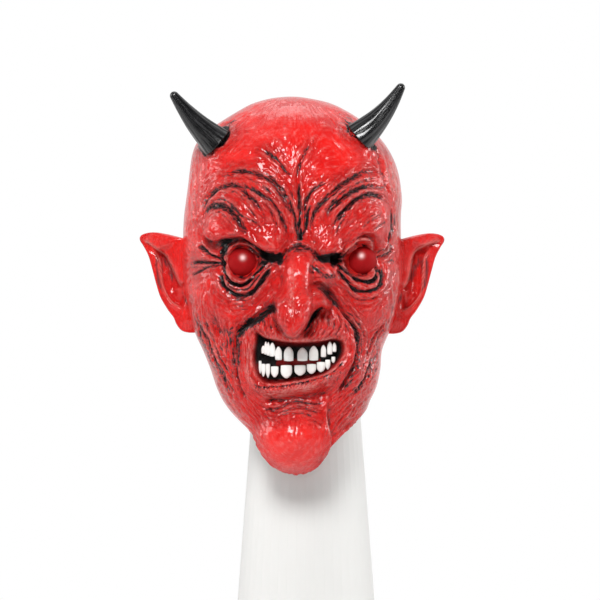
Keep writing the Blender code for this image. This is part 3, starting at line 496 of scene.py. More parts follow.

# Lines of dark wash, some of them painted shade: width, amount, blunt ends, line.
washAndShadeLines = (
    # the next three are painted shade under the brow ledge and in the corners of the left eye
    (2.8, 1.4, 0.2, ((218, 249), (222, 244.5), (227, 242), (233, 241))),
    (1.7, 1.4, 0.15, ((223, 250), (222, 256), (223, 263), (225, 269))),
    (2.2, 1.1, 0.2, ((251, 246), (257, 250.5), (263, 256), (270, 260))),
    (1.5, 1.6, 0.12, ((325, 306.5), (320, 308.5), (315.5, 312.5), (311.5, 318), (308.5, 325),
     (303, 332.5))),
    # painted shade down the nose's left side
    (2.6, 0.46, 0.3, ((284, 262), (283, 272), (282.5, 280), (280.5, 289))),
    (1.8, 0.8, 0.2, ((276, 300), (273.5, 306), (275, 312))),
    # painted shadow under the nose
    (1.8, 0.75, 0.2, ((275, 312), (278, 323), (283, 332), (290, 337.5), (298, 336), (304, 330))),
    (4.2, 1.6, 0.12, ((278, 304), (271, 309.5), (262, 316.5), (252, 323.5), (243, 330.5), (238, 338))),
    (3.4, 1.15, 0.3, ((240, 331), (239, 338), (240, 347), (240.5, 358), (241, 370))),
    (2.2, 0.62, 0.3, ((239, 350), (240, 362), (241.5, 376), (246, 394))),
    # the next two, broad and soft, are painted shade beside the left nasolabial fold
    (4.6, 0.50, 0.25, ((236, 336), (235, 350), (236, 366), (240, 386))),
    (7.0, 0.50, 0.35, ((229, 322), (228, 336), (230, 352))),
    (1.8, 0.95, 0.15, ((312, 287), (320, 288), (330, 296), (341, 312), (350, 326))),
    (3.0, 1.0, 0.3, ((346, 316), (352, 325), (357, 336), (357.5, 348))),
    # broad and soft: painted shade beside the right nasolabial fold
    (4.2, 0.50, 0.2, ((354, 330), (358, 342), (357, 356), (352, 370), (345, 384), (338, 396))),
    (2.0, 1.5, 0.3, ((318, 288), (326, 293.5), (333, 302), (338, 309))),
    (1.2, 1.1, 0.3, ((348, 318), (354, 325), (359, 334))),
    (0.8, 0.95, 0.1, ((254, 378), (260, 384.5), (268, 386), (288, 384), (308, 380), (325, 374.5),
     (337, 365), (343, 354))),
    # painted shade beside the chin's right edge
    (1.6, 0.42, 0.3, ((331, 400), (330, 414), (331.5, 428), (333, 440))),
    (4.2, 1.7, 0.12, ((226, 127), (227, 136), (222, 144), (213, 149), (205, 147))),
    (2.6, 1.7, 0.12, ((349, 125), (355, 133), (363, 141), (371, 149), (377, 152))),
    (1.0, 1.4, 0.15, ((350, 119), (345.5, 125), (346.5, 133), (345, 139))),
    (1.0, 1.3, 0.15, ((225, 121), (231, 123), (235, 128))),
    (1.5, 1.5, 0.15, ((199, 146), (204, 152), (209, 159))),
)

# Loose dark streaks beside a line: reach, count, amount, seed, width, line.
looseHairs = (
    (2.2, 14, 1.0, 9, 0.6, ((284, 255), (292, 249), (300, 247), (308, 249), (317, 255))),
    (3.4, 16, 0.8, 5, 0.75, ((276, 303), (262, 315), (250, 324), (240, 333), (237, 342))),
    (2.4, 14, 0.6, 8, 0.75, ((237, 330), (239, 350), (240, 370), (246, 396))),
    (3.6, 16, 0.75, 31, 0.7, ((240, 329), (233, 340), (232, 356), (236, 376))),
    (3.2, 14, 0.7, 21, 0.7, ((320, 288), (336, 303), (350, 322), (358, 340))),
    (2.8, 16, 0.85, 22, 0.55, ((358, 340), (355, 362), (343, 388))),
    # streaks of painted shade under the lower lip
    (2.6, 12, 0.5, 44, 0.55, ((264, 401), (280, 400), (296, 398), (312, 396), (330, 391))),
)

# Lines rubbed pale, most of them painted highlight and sheen on edges, temples, nose, lids and lip:
# width, amount, line. Fans of fine pale streaks, painted highlight too: line.
rubAndHighlightLines = (
    (1.2, 1.1, ((327.5, 405), (326.5, 418), (328, 430), (330, 441), (328, 452))),
    (1.0, 1.3, ((387, 266), (388.5, 280), (387, 294), (388.5, 304), (385, 320), (377.5, 334),
     (370, 353), (364, 371), (356, 384))),
    (1.5, 0.8, ((395, 262), (396, 286), (390.5, 313), (383.5, 332))),
    (1.3, 0.8, ((192, 316), (199, 336), (207, 354), (217, 376), (228, 394), (238, 410), (248, 430))),
    (1.2, 0.7, ((200, 318), (207, 336), (214, 352), (224, 370), (234, 388))),
    (1.2, 0.8, ((236, 350), (240, 362), (246, 374))),
    (2.4, 0.8, ((251, 345), (249.5, 362), (252.5, 376), (259, 386))),
    (3.4, 0.8, ((258, 389), (268, 391.5), (282, 391), (296, 388))),
    (2.0, 0.6, ((300, 387), (318, 381), (334, 370), (343, 356))),
    (2.0, 0.8, ((257, 320), (248, 333), (246, 345))),
    (1.2, 1.2, ((381, 150), (386, 168), (390, 186), (394, 202))),
    (4.6, 1.4, ((389, 156), (395, 180), (398, 205), (397, 232), (394, 250))),
    (3.0, 1.0, ((397, 262), (399, 280), (395, 305), (388, 328))),
    (1.8, 0.7, ((193, 150), (196, 170), (194, 200), (192, 232))),
    (1.4, 0.8, ((199, 158), (202, 176), (200, 198))),
    (0.7, 1.2, ((227, 281), (234, 288), (242, 290.5), (250, 287), (257, 279))),
    (0.7, 1.2, ((342, 273), (350, 280), (358, 286), (366, 287), (374, 281))),
    (2.8, 0.75, ((291, 258), (292.5, 280), (291, 300), (291, 322))),
    (1.2, 0.8, ((312, 292), (317, 293), (321, 297))),
)
rubAndHighlightFans = (
    ((334, 436), (344, 420), (355, 402), (364, 386)),
    ((340, 430), (352, 414), (364, 396), (372, 374)),
    ((350, 426), (362, 410), (372, 388)),
    ((258, 424), (250, 406), (241, 390)),
    ((204, 330), (212, 350), (222, 370), (234, 392)),
    ((206, 292), (214, 306), (226, 312)),
    ((296, 160), (290, 140), (286, 126)),
    ((355, 165), (340, 168), (326, 172)),
)

mouthLine = (
    (257.5, 331.5), (266, 336), (279, 339), (296, 341), (318, 340), (333, 337.5), (342, 341),
    (343.5, 351), (337, 363), (325, 373), (308, 378.5), (288, 382), (268, 383), (258, 375),
    (253.5, 358), (255, 343))


def modelFace(s):
    for spot in faceForms:
        bump(s, *spot)
    for side, seed in (("left", 4), ("right", 5), ("between", 7)):
        for k, (width, depth, paint, reach, line) in enumerate(browFolds[side]):
            fold(s, line, width, depth, 0.9, paint, 0.28, spread=reach)
            hairs(s, line, 0.9 + 0.9 * width, int(2 + 2.5 * width), 0.62, 31 * k + seed)
            hairs(s, line, 2.0 + width, int(3 + 2 * width), 1.0, 57 * k + seed, 0.6, rubAndHighlightLine)
    for *values, line in browLedges:
        ledge(s, line, *values)
    fold(s, noseLines["bridge"], 1.6, 4, 0.5, 0.6)
    for width, depth, paint, line in eyeFolds:
        fold(s, line, width, depth, 1.0, paint * 1.25, 0.12)
        hairs(s, line, 1.6, 4, 0.6, int(line[0][0]), 0.6)
    openSockets(s)
    for width, height, line in lidRolls:
        fold(s, line, width, -height, 0, 0, 0.1, 2)
    # the nose stands on all that was modelled before it, and one nostril is cut into it
    bump(s, 318, 272, 22, 24, 12)
    pad(s, noseLines["wing"], ((285, 24), (292, 28), (300, 31), (309, 27), (320, 22)), 9,
        ((285, 3), (300, 6)), 0.9)
    pad(s, noseLines["bulb"], ((244, 8), (250, 12), (265, 22), (284, 33), (302, 44), (318, 49.4),
                               (330, 49.4), (340, 47.5)), 14,
        ((250, 0.30), (264, 0.7), (276, 2.0), (288, 5), (298, 10)), 0.95)
    bump(s, 314.5, 315, 12, 3.2, -8, -54)
    for *values, line in cheekLedges:
        ledge(s, line, *values)
    for k, (width, depth, paint, line) in enumerate(cheekFolds):
        fold(s, line, width * 0.85, depth, 1.1, paint * 1.15, 0.3, spread=1.7)
        hairs(s, line, 3.0, 12, 0.62, 100 + k, 0.5)
        hairs(s, line, 3.4, 7, 0.9, 140 + k, 0.5, rubAndHighlightLine)
    for count, *values, first, last in fannedFolds:
        for line in between(first, last, count):
            fold(s, line, *values)
    for *values, line in singleFolds:
        fold(s, line, *values)
    for width, depth, paint, line in chinFolds:
        fold(s, line, width, depth, 0.7, paint)
    # short dark strokes and small creases across the lower lip
    for k in range(34):
        x = 259 + 2.35 * k
        y = 386.0 - 0.0010 * (x - 270) ** 2 - 0.16 * max(x - 280, 0)
        brushLine(s, ((x, y - 2), (x + 0.9 * math.sin(5 * k), y + 2.2 + 1.6 * math.sin(7 * k))),
                  0.6, 0.95, 0.3)
    for k in range(19):
        x = 262 + 4.1 * k
        top = 383.5 - 0.0016 * (x - 278) ** 2 - 0.09 * max(x - 285, 0)
        fold(s, ((x, top), (x + 0.8 * math.sin(3 * k), top + 5), (x - 0.6, top + 9)), 0.8, 0.9,
             0.3, 0.12, 0.3)
    for width, amount, blunt, line in washAndShadeLines:
        brushLine(s, line, width, amount, blunt)
    for *values, line in looseHairs:
        hairs(s, line, *values)
    # a broad painted highlight on the lower lip
    rubAndHighlightLine(s, ((258, 388), (270, 392), (288, 391), (306, 387), (322, 381)), 4.2, 1.4, 0.25)
    for width, amount, line in rubAndHighlightLines:
        rubAndHighlightLine(s, line, width, amount, 0.2)
    for k, line in enumerate(rubAndHighlightFans):
        hairs(s, line, 3.6, 16, 1.1, 300 + k, 0.6, rubAndHighlightLine)
    for spot in stainsAndShade:
        stainAndShade(s, *spot)


socketValues = {
    "middles": ((243, 262.5), (360.5, 260.5)),
    "depth": 4.5, "rim": 18.5, "floor": 15.5,        # in steps, the last two from the middle
    "squeeze": 1.12,                                 # sockets are this much taller than wide
}


def openSockets(s):
    # a seat behind each dome, so that the lids stand round it
    v = socketValues
    for across, down in v["middles"]:
        away = np.hypot((s["u"] - across) * v["squeeze"], s["v"] - down)
        s["lift"] -= v["depth"] * eased(v["rim"], v["floor"], away) * s["gate"]


def openMouth(s):
    # a rolled lip, the sunk gums, and the red strip that shows between the teeth
    pick, gap = insideOf(s, mouthLine, 12)
    s["lift"][pick] += 3.0 * np.exp(-((gap + 4.5) / 3.5) ** 2) * (gap < 3)
    sink = eased(0.0, 3.5, gap)
    s["lift"][pick] = s["lift"][pick] * (1 - sink) + (9 - maskValues["mouthDepth"]) * sink
    inside, strip = np.zeros(s["u"].size), np.zeros(s["u"].size)
    inside[pick] = eased(0.4, 2.2, gap)
    u, v = s["u"][pick], s["v"][pick]
    tongue = ((u > 276) & (u < 321)) * np.exp(-((v - 361.5) / 3.2) ** 4)
    under = 0.55 * eased(268, 280, u) * eased(340, 328, u) * eased(347, 343.5, v)
    edge = eased(360, 366, v) * eased(5.0, 3.4, gap) * eased(0.9, 1.8, gap) * 0.7
    strip[pick] = np.maximum(np.maximum(tongue, under), edge) * (gap > 0)
    return inside, strip


def headRows(count):
    crownRows = 16                                   # rows that close the crown
    top = sheetValues["crown"] + np.linspace(0, 5.6, crownRows + 1)[1:] ** 2
    down = top[-1] + (sheetValues["chin"] - top[-1]) * np.linspace(0, 1, 600)
    density = 0.62 + 0.38 * eased(140, 175, down) - 0.2 * eased(415, 440, down)
    work = np.concatenate([[0], np.cumsum(0.5 * (density[1:] + density[:-1]))])
    rest = np.interp(np.linspace(0, work[-1], count - crownRows + 1)[1:], work, down)
    return np.concatenate([[sheetValues["crown"] + 0.001], top, rest])


def headTurns(count):
    # even along the outline in front, wider apart behind
    fine = np.linspace(-math.pi, math.pi, 6001)
    x, y = (np.sign(f(fine)) * np.abs(f(fine)) ** 0.8 for f in (np.sin, np.cos))
    density = 0.16 + 0.84 * eased(1.75, 1.0, np.abs(fine))
    steps = np.diff(runOf(np.stack([x, -y], -1))) * density[1:]
    work = np.concatenate([[0], np.cumsum(steps)])
    return np.interp(np.arange(count + 1) / count * work[-1], work, fine)


def gridNormals(grid):
    ahead = np.roll(grid[:, :-1], -1, 1) - np.roll(grid[:, :-1], 1, 1)
    ahead = np.concatenate([ahead, ahead[:, :1]], 1)
    n = np.cross(np.gradient(grid, axis=0), ahead)
    return n / np.maximum(np.linalg.norm(n, axis=-1, keepdims=True), 1e-12)


def headForm(turns, rows):
    rim = smoothRead(rimLine, np.degrees(turns))
    level, rows = sheetValues["level"], rows[:, None]
    v = np.where(rows <= level, rows, level + (rows - level) * (rim[None, :] - level)
                 / (sheetValues["chin"] - level))
    left, right, front, back = (smoothRead(knots, v, True) for knots in (
        leftOutline, rightOutline, frontDepth, backDepth))
    middle = smoothRead(middleDepth, v)
    centre = 291.5 + 6.5 * eased(96.5, 230, v)
    power = 2.15 + 0.4 * eased(110, 220, v)
    sine, cosine = np.sin(turns)[None, :], np.cos(turns)[None, :]
    wide = np.where(sine > 0, right - centre, centre - left)
    across = centre + wide * np.sign(sine) * np.abs(sine) ** (2 / power)
    deep = np.where(cosine > 0, middle - front, back - middle)
    depth = middle - deep * np.sign(cosine) * np.abs(cosine) ** (2 / power)
    return across, depth, v


postValues = {
    "radius": 0.0649, "taper": 0.0719,   # the post's radius at the floor, its loss per metre
    "top": 0.30,                         # the skin is kept clear of it up to this height
}


def clearOfPost(grid, margin):
    v = postValues
    reach, height = np.hypot(grid[..., 0], grid[..., 1]), grid[..., 2]
    least = v["radius"] - v["taper"] * height + margin
    grow = np.where((height < v["top"]) & (reach < least), least / np.maximum(reach, 1e-6), 1)
    out = grid.copy()
    out[..., :2] *= grow[..., None]
    return out


# Meshes and finished pieces.

def meshOf(bm, name):
    mesh = bpy.data.meshes.new(name)
    bm.to_mesh(mesh)
    bm.free()
    return mesh


def addObject(name, data):
    obj = bpy.data.objects.new(name, data)
    bpy.context.scene.collection.objects.link(obj)
    return obj


def sheetMesh(name, spots, values):
    # a bmesh grid, every place of it moved to its spot, with values for the materials
    rows, columns = spots.shape[:2]
    bm = bmesh.new()
    bmesh.ops.create_grid(bm, x_segments=columns - 1, y_segments=rows - 1, size=1.0)
    mesh = meshOf(bm, name)
    flat = np.zeros(len(mesh.vertices) * 3)
    mesh.vertices.foreach_get("co", flat)
    flat = flat.reshape(-1, 3)
    j = np.rint((flat[:, 0] + 1) / 2 * (columns - 1)).astype(int)
    i = np.rint((1 - flat[:, 1]) / 2 * (rows - 1)).astype(int)
    mesh.vertices.foreach_set("co", spots[i, j].ravel())
    for key, value in values.items():
        kind, field = ('FLOAT_VECTOR', "vector") if value.ndim == 3 else ('FLOAT', "value")
        numbers = value[i, j].ravel().astype(np.float32)
        mesh.attributes.new(key, kind, 'POINT').data.foreach_set(field, numbers)
    return mesh


def finishPiece(name, mesh, material, merge=0.00002):
    bm = bmesh.new()
    bm.from_mesh(mesh)
    if merge:
        bmesh.ops.remove_doubles(bm, verts=bm.verts, dist=merge)
    bmesh.ops.recalc_face_normals(bm, faces=bm.faces)
    bm.to_mesh(mesh)
    bm.free()
    obj = addObject(name, mesh)
    mesh.materials.append(material)
    mesh.shade_smooth()
    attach(obj, "root")
    return obj


def closeEnds(mesh, cutFaces):
    bm = bmesh.new()
    bm.from_mesh(mesh)
    bmesh.ops.holes_fill(bm, edges=[e for e in bm.edges if e.is_boundary], sides=0)
    if cutFaces:
        bmesh.ops.triangulate(bm, faces=[f for f in bm.faces if len(f.verts) > 4])
    bmesh.ops.recalc_face_normals(bm, faces=bm.faces)
    bm.to_mesh(mesh)
    bm.free()


# Materials.

def fill(tree, node, **inputs):
    # a key is a setting after set_, the number of an input after i, or else an input's name
    for key, value in inputs.items():
        if key.startswith("set_"):
            setattr(node, key[4:], value)
            continue
        socket = node.inputs[int(key[1:]) if key[1:].isdigit() else key.replace("_", " ")]
        if isinstance(value, bpy.types.NodeSocket):
            tree.links.new(value, socket)
        else:
            socket.default_value = value


def nodeMaker(tree):
    def make(kind, **inputs):
        node = tree.nodes.new("ShaderNode" + kind)
        fill(tree, node, **inputs)
        return node
    return make


def ramp(make, value, low, high, first=0.0, last=1.0):
    return make("MapRange", Value=value, From_Min=low, From_Max=high, To_Min=first,
                To_Max=last).outputs[0]


def mixColour(make, share, first, second):
    return make("Mix", set_data_type='RGBA', Factor=share, i6=first, i7=second).outputs[2]


def mixValue(make, share, first, second):
    return make("Mix", Factor=share, i2=first, i3=second).outputs[0]


def reckon(make, operation, first, second=0.0, third=0.0, clamp=False):
    return make("Math", set_operation=operation, set_use_clamp=clamp, i0=first, i1=second,
                i2=third).outputs[0]


def readValue(make, name):
    return make("Attribute", set_attribute_name=name).outputs["Fac"]


def newMaterial(name):
    material = bpy.data.materials.new(name)
    material.use_nodes = True
    tree = material.node_tree
    return material, nodeMaker(tree), tree, tree.nodes["Principled BSDF"]


def newGroup(name, vectors, values, results):
    tree = bpy.data.node_groups.new(name, "ShaderNodeTree")
    number = 'NodeSocketFloat'
    for label in vectors:
        tree.interface.new_socket(name=label, in_out='INPUT', socket_type='NodeSocketVector')
    for label, value in values.items():
        socket = tree.interface.new_socket(name=label, in_out='INPUT', socket_type=number)
        socket.default_value = value
    for label in results:
        tree.interface.new_socket(name=label, in_out='OUTPUT', socket_type=number)
    return tree, tree.nodes.new("NodeGroupInput"), tree.nodes.new("NodeGroupOutput")


grainValues = {
    "Crease Scale": 640.0, "Pore Scale": 520.0, "Pore Share": 0.40,
    "Speck Scale": 820.0, "Speck Share": 0.45,
}


def skinGrainGroup():
    # fine creases that run with the folds, pores between them, and streaks for the wash
    tree, given, result = newGroup("skinGrain", ("Lay", "Place"), grainValues,
                                   ("Height", "Streak", "Mottle"))
    make = nodeMaker(tree)
    place = given.outputs["Place"]
    lay = make("SeparateXYZ", Vector=given.outputs["Lay"])
    creases, streaks = 0.0, 0.0
    for turn, axis, sign in ((0, "X", 1.0), (45, "Y", 1.0), (90, "X", -1.0), (135, "Y", -1.0)):
        share = reckon(make, 'MULTIPLY', lay.outputs[axis], sign, clamp=True)
        turned = make("Mapping", set_vector_type='TEXTURE', Vector=place,
                      Rotation=(0, math.radians(turn), 0), Scale=(8.0, 1.0, 1.0))
        crease = make("TexNoise", Vector=turned.outputs[0], Scale=given.outputs["Crease Scale"],
                      Detail=3.0, Roughness=0.6, Distortion=0.4).outputs["Fac"]
        line = reckon(make, 'ABSOLUTE', reckon(make, 'SUBTRACT', crease, 0.5))
        creases = reckon(make, 'MULTIPLY_ADD', line, share, creases)
        streaks = reckon(make, 'MULTIPLY_ADD', crease, share, streaks)
    pores = make("TexVoronoi", set_feature='SMOOTH_F1', Vector=place,
                 Scale=given.outputs["Pore Scale"], Smoothness=0.6)
    pebble = ramp(make, pores.outputs["Distance"], 0.1, 0.7, 1.0, 0.0)
    mixed = mixValue(make, given.outputs["Pore Share"], ramp(make, creases, 0.0, 0.13), pebble)
    speck = make("TexNoise", Vector=place, Scale=given.outputs["Speck Scale"], Detail=2.0,
                 Roughness=0.6).outputs["Fac"]
    height = reckon(make, 'MULTIPLY_ADD', speck, given.outputs["Speck Share"], mixed)
    # the lay's third value says how strongly the grain stands out from a middle level
    level = 0.65
    strong = reckon(make, 'MULTIPLY_ADD', reckon(make, 'SUBTRACT', height, level),
                    lay.outputs["Z"], level)
    mottle = make("TexNoise", Vector=place, Scale=34.0, Detail=4.0, Roughness=0.62)
    fill(tree, result, Height=strong, Streak=streaks, Mottle=mottle.outputs["Fac"])
    return tree


grainGroup = skinGrainGroup()

latexValues = {
    "red": (0.84, 0.010, 0.007, 1), "deepRed": (0.68, 0.006, 0.006, 1),
    "paleRed": (0.86, 0.034, 0.028, 1), "paleRubAndHighlight": (0.94, 0.30, 0.27, 1),
    "creaseShadeRed": (0.30, 0.003, 0.005, 1),
    "wash": (0.002, 0.001, 0.001, 1), "thinWashAndShade": (0.10, 0.022, 0.026, 1),
    "gum": (0.001, 0.001, 0.001, 1), "inside": (0.26, 0.002, 0.003, 1),
    "roughness": 0.34, "coat": 0.60, "bump": 1.0, "bumpSize": 0.0013,
}


def latexMaterial(name, rubAndHighlightFrom, streaking, hasMouth):
    # the first number says where the pale rubbing and painted highlight start, streaking how far the
    # wash breaks up
    v = latexValues
    material, make, tree, shader = newMaterial(name)
    lay = make("Attribute", set_attribute_name="lay").outputs["Vector"]
    wash, ridge = readValue(make, "wash"), readValue(make, "ridge")
    grain = make("Group", set_node_tree=grainGroup, Lay=lay,
                 Place=make("TexCoord").outputs["Object"])
    height, streak, mottle = (grain.outputs[key] for key in ("Height", "Streak", "Mottle"))
    colour = mixColour(make, ramp(make, mottle, 0.36, 0.60), v["deepRed"], v["red"])
    colour = mixColour(make, ramp(make, mottle, 0.56, 0.80, 0.0, 0.6), colour, v["paleRed"])
    # the valleys of the fine grain are darkened: painted shade in the creases
    colour = mixColour(make, ramp(make, height, 0.30, 0.60, 0.62, 0.0), colour, v["creaseShadeRed"])
    # high places are rubbed a little paler along the grain, and this pale also paints highlight on the
    # ridges
    rub = reckon(make, 'MULTIPLY', ridge, ramp(make, streak, rubAndHighlightFrom, rubAndHighlightFrom + 0.20), clamp=True)
    colour = mixColour(make, rub, colour, v["paleRubAndHighlight"])
    # the wash breaks up into streaks where it runs thin
    uneven = reckon(make, 'ADD', ramp(make, streak, 0.36, 0.62, -0.50, 0.36),
                    ramp(make, height, 0.0, 0.5, 0.30, -0.08))
    where = ramp(make, wash, 0.02, 0.35, 0.0, streaking)
    amount = reckon(make, 'MULTIPLY_ADD', uneven, where, wash, clamp=True)
    thick = ramp(make, amount, 0.42, 0.85)
    # thin amounts turn maroon and thick ones near black, for the wash and the painted shade alike
    colour = mixColour(make, ramp(make, amount, 0.12, 0.50), colour, v["thinWashAndShade"])
    colour = mixColour(make, thick, colour, v["wash"])
    rough = ramp(make, mottle, 0.3, 0.7, v["roughness"] + 0.08, v["roughness"] - 0.08)
    gloss = ramp(make, amount, 0.3, 0.9, v["coat"], v["coat"] * 0.15)
    if hasMouth:
        gum = readValue(make, "gum")
        inside = mixColour(make, readValue(make, "strip"), v["gum"], v["inside"])
        colour = mixColour(make, gum, colour, inside)
        gloss = mixValue(make, gum, gloss, 0.03)
    relief = make("Bump", Height=height, Strength=v["bump"], Distance=v["bumpSize"])
    fill(tree, shader, Base_Color=colour, Roughness=mixValue(make, thick, rough, 0.13),
         Coat_Weight=gloss, Coat_Roughness=0.08, Specular_IOR_Level=0.22,
         Normal=relief.outputs[0])
    return material


def plainMaterial(name, colour, roughness, coat, noiseScale, vary, bumpSize=0.0):
    material, make, tree, shader = newMaterial(name)
    place = make("TexCoord").outputs["Object"]
    cloud = make("TexNoise", Vector=place, Scale=noiseScale, Detail=5.0,
                 Roughness=0.6).outputs["Fac"]
    dark = tuple(c * (1 - vary) for c in colour)
    fill(tree, shader, Base_Color=mixColour(make, cloud, (*dark, 1), (*colour, 1)),
         Roughness=ramp(make, cloud, 0.0, 1.0, roughness * 0.8, roughness * 1.25),
         Coat_Weight=coat, Coat_Roughness=0.1)
    if bumpSize:
        fine = make("TexNoise", Vector=place, Scale=noiseScale * 12, Detail=3.0)
        relief = make("Bump", Height=fine.outputs["Fac"], Strength=0.3, Distance=bumpSize)
        fill(tree, shader, Normal=relief.outputs[0])
    return material


def hornMaterial():
    # near black, with dry grey streaks along the horn and a gloss that breaks up on them
    material, make, tree, shader = newMaterial("hornBlack")
    run = make("Attribute", set_attribute_name="run").outputs["Vector"]
    streak = make("TexNoise", Vector=run, Scale=9.0, Detail=6.0, Roughness=0.7).outputs["Fac"]
    colour = mixColour(make, ramp(make, streak, 0.50, 0.72), (0.0015, 0.0015, 0.002, 1),
                       (0.012, 0.012, 0.015, 1))
    relief = make("Bump", Height=streak, Strength=0.5, Distance=0.0006)
    fill(tree, shader, Base_Color=colour, Roughness=ramp(make, streak, 0.35, 0.65, 0.16, 0.34),
         Coat_Weight=0.5, Coat_Roughness=0.12, Specular_IOR_Level=0.4, Normal=relief.outputs[0])
    return material


latexSkin = latexMaterial("paintedLatex", 0.42, 1.0, True)
latexEar = latexMaterial("earLatex", 0.15, 0.3, False)
hornBlack = hornMaterial()
toothWhite = plainMaterial("toothWhite", (0.93, 0.925, 0.895), 0.25, 0.5, 200, 0.06, 0.0002)
standWhite = plainMaterial("standWhite", (0.80, 0.80, 0.78), 0.55, 0.0, 30, 0.03, 0.0001)
print("materials made")


# The mask's skin and lining.

def spread(field, times):
    # soften a grid that wraps round the head
    out = field.copy()
    for _ in range(times):
        out[1:-1] = (out[:-2] + 2 * out[1:-1] + out[2:]) / 4
        out = (np.roll(out, 1, 1) + 2 * out + np.roll(out, -1, 1)) / 4
    return out


def layOfSkin(s, shape):
    # away from the folds the grain runs across the brow and down the cheeks and sides
    u, v = s["u"], s["v"]
    lean = np.where(u < 298, 1, -1) * eased(290, 420, v) * 0.7
    down = np.maximum(eased(215, 300, v), eased(60, 88, np.abs(u - 296)))
    turn = math.pi / 2 * down - lean * (1 - eased(70, 95, np.abs(u - 296)))
    turn = turn + 0.5 * np.sin(u / 13.0) * (1 - down)
    field = s["lay"] + 0.12 * np.stack([np.cos(2 * turn), np.sin(2 * turn)], -1)
    field = np.stack([spread(field[:, k].reshape(shape), 6).ravel() for k in (0, 1)], -1)
    return field / np.maximum(np.abs(field).sum(-1, keepdims=True), 1e-9)


wrinkleValues = {
    "coarse": 3.6, "fine": 2.0,      # distance between wrinkles, in steps
    "stretch": 4.5,                  # how far they are drawn out along the lay
    "pebble": 0.30,                  # height of the pebbles on the chin
    "level": 0.16,                   # what the wrinkles come to on average
}
smoothSpots = {"chin": (295, 438, 36, 34), "brow": (312, 150, 46, 34)}    # middle and reach


def spotShare(s, spot, near, far):
    # 1 on a smooth spot, 0 well away from it
    across, down, wide, high = smoothSpots[spot]
    return 1 - eased(near, far, np.hypot((s["u"] - across) / wide, (s["v"] - down) / high))


def grainStrength(s):
    # smooth on the crown and sides, coarse where the folds are
    folded = eased(0.05, 1.2, np.hypot(s["lay"][:, 0], s["lay"][:, 1]))
    lower = eased(250, 300, s["v"]) * s["gate"]
    chin, brow = spotShare(s, "chin", 0.5, 1.1), spotShare(s, "brow", 0.5, 1.1)
    return np.clip(0.35 + 0.5 * folded + 0.25 * lower - 0.38 * chin - 0.32 * brow, 0, 1)


def wrinkleField(s, lay, reach, seed):
    # soft-backed ridges with sharp valleys, drawn out along the lay, pebbled on the chin
    out, values = np.zeros(s["u"].size), wrinkleValues
    pebbled = spotShare(s, "chin", 0.6, 1.2)
    for k in np.nonzero(s["gate"] > 0.02)[0]:
        u, v = s["u"][k], s["v"][k]
        if pebbled[k] > 0.02:
            pebble = values["pebble"] * noiseAt(u / reach / 1.1, v / reach / 1.1, seed)
            out[k] += pebbled[k] * (values["level"] + pebble)
            if pebbled[k] > 0.98:
                continue
        flat, tilted = lay[k]
        for turn, share in ((0, flat), (45, tilted), (90, -flat), (135, -tilted)):
            if share > 0.02:
                c, n = math.cos(math.radians(turn)), math.sin(math.radians(turn))
                along = (u * c + v * n) / (reach * values["stretch"])
                ridge = abs(noiseAt(along, (v * c - u * n) / reach, seed))
                out[k] += (1 - pebbled[k]) * share * ridge
    return out


paintValues = {
    "hollow": 0.40, "hollowFrom": 0.14, "hollowMost": 0.75,    # wash that settles in hollows
    "wipe": 0.30, "wipeMost": 0.4, "washAndShadeMost": 1.7,            # and is wiped off the ridges
    "ridge": 0.5, "ridgeMost": 1.4,                            # pale ridges: rubbed paint and painted highlight
    "lining": 0.1,                                             # wash on the lining
}


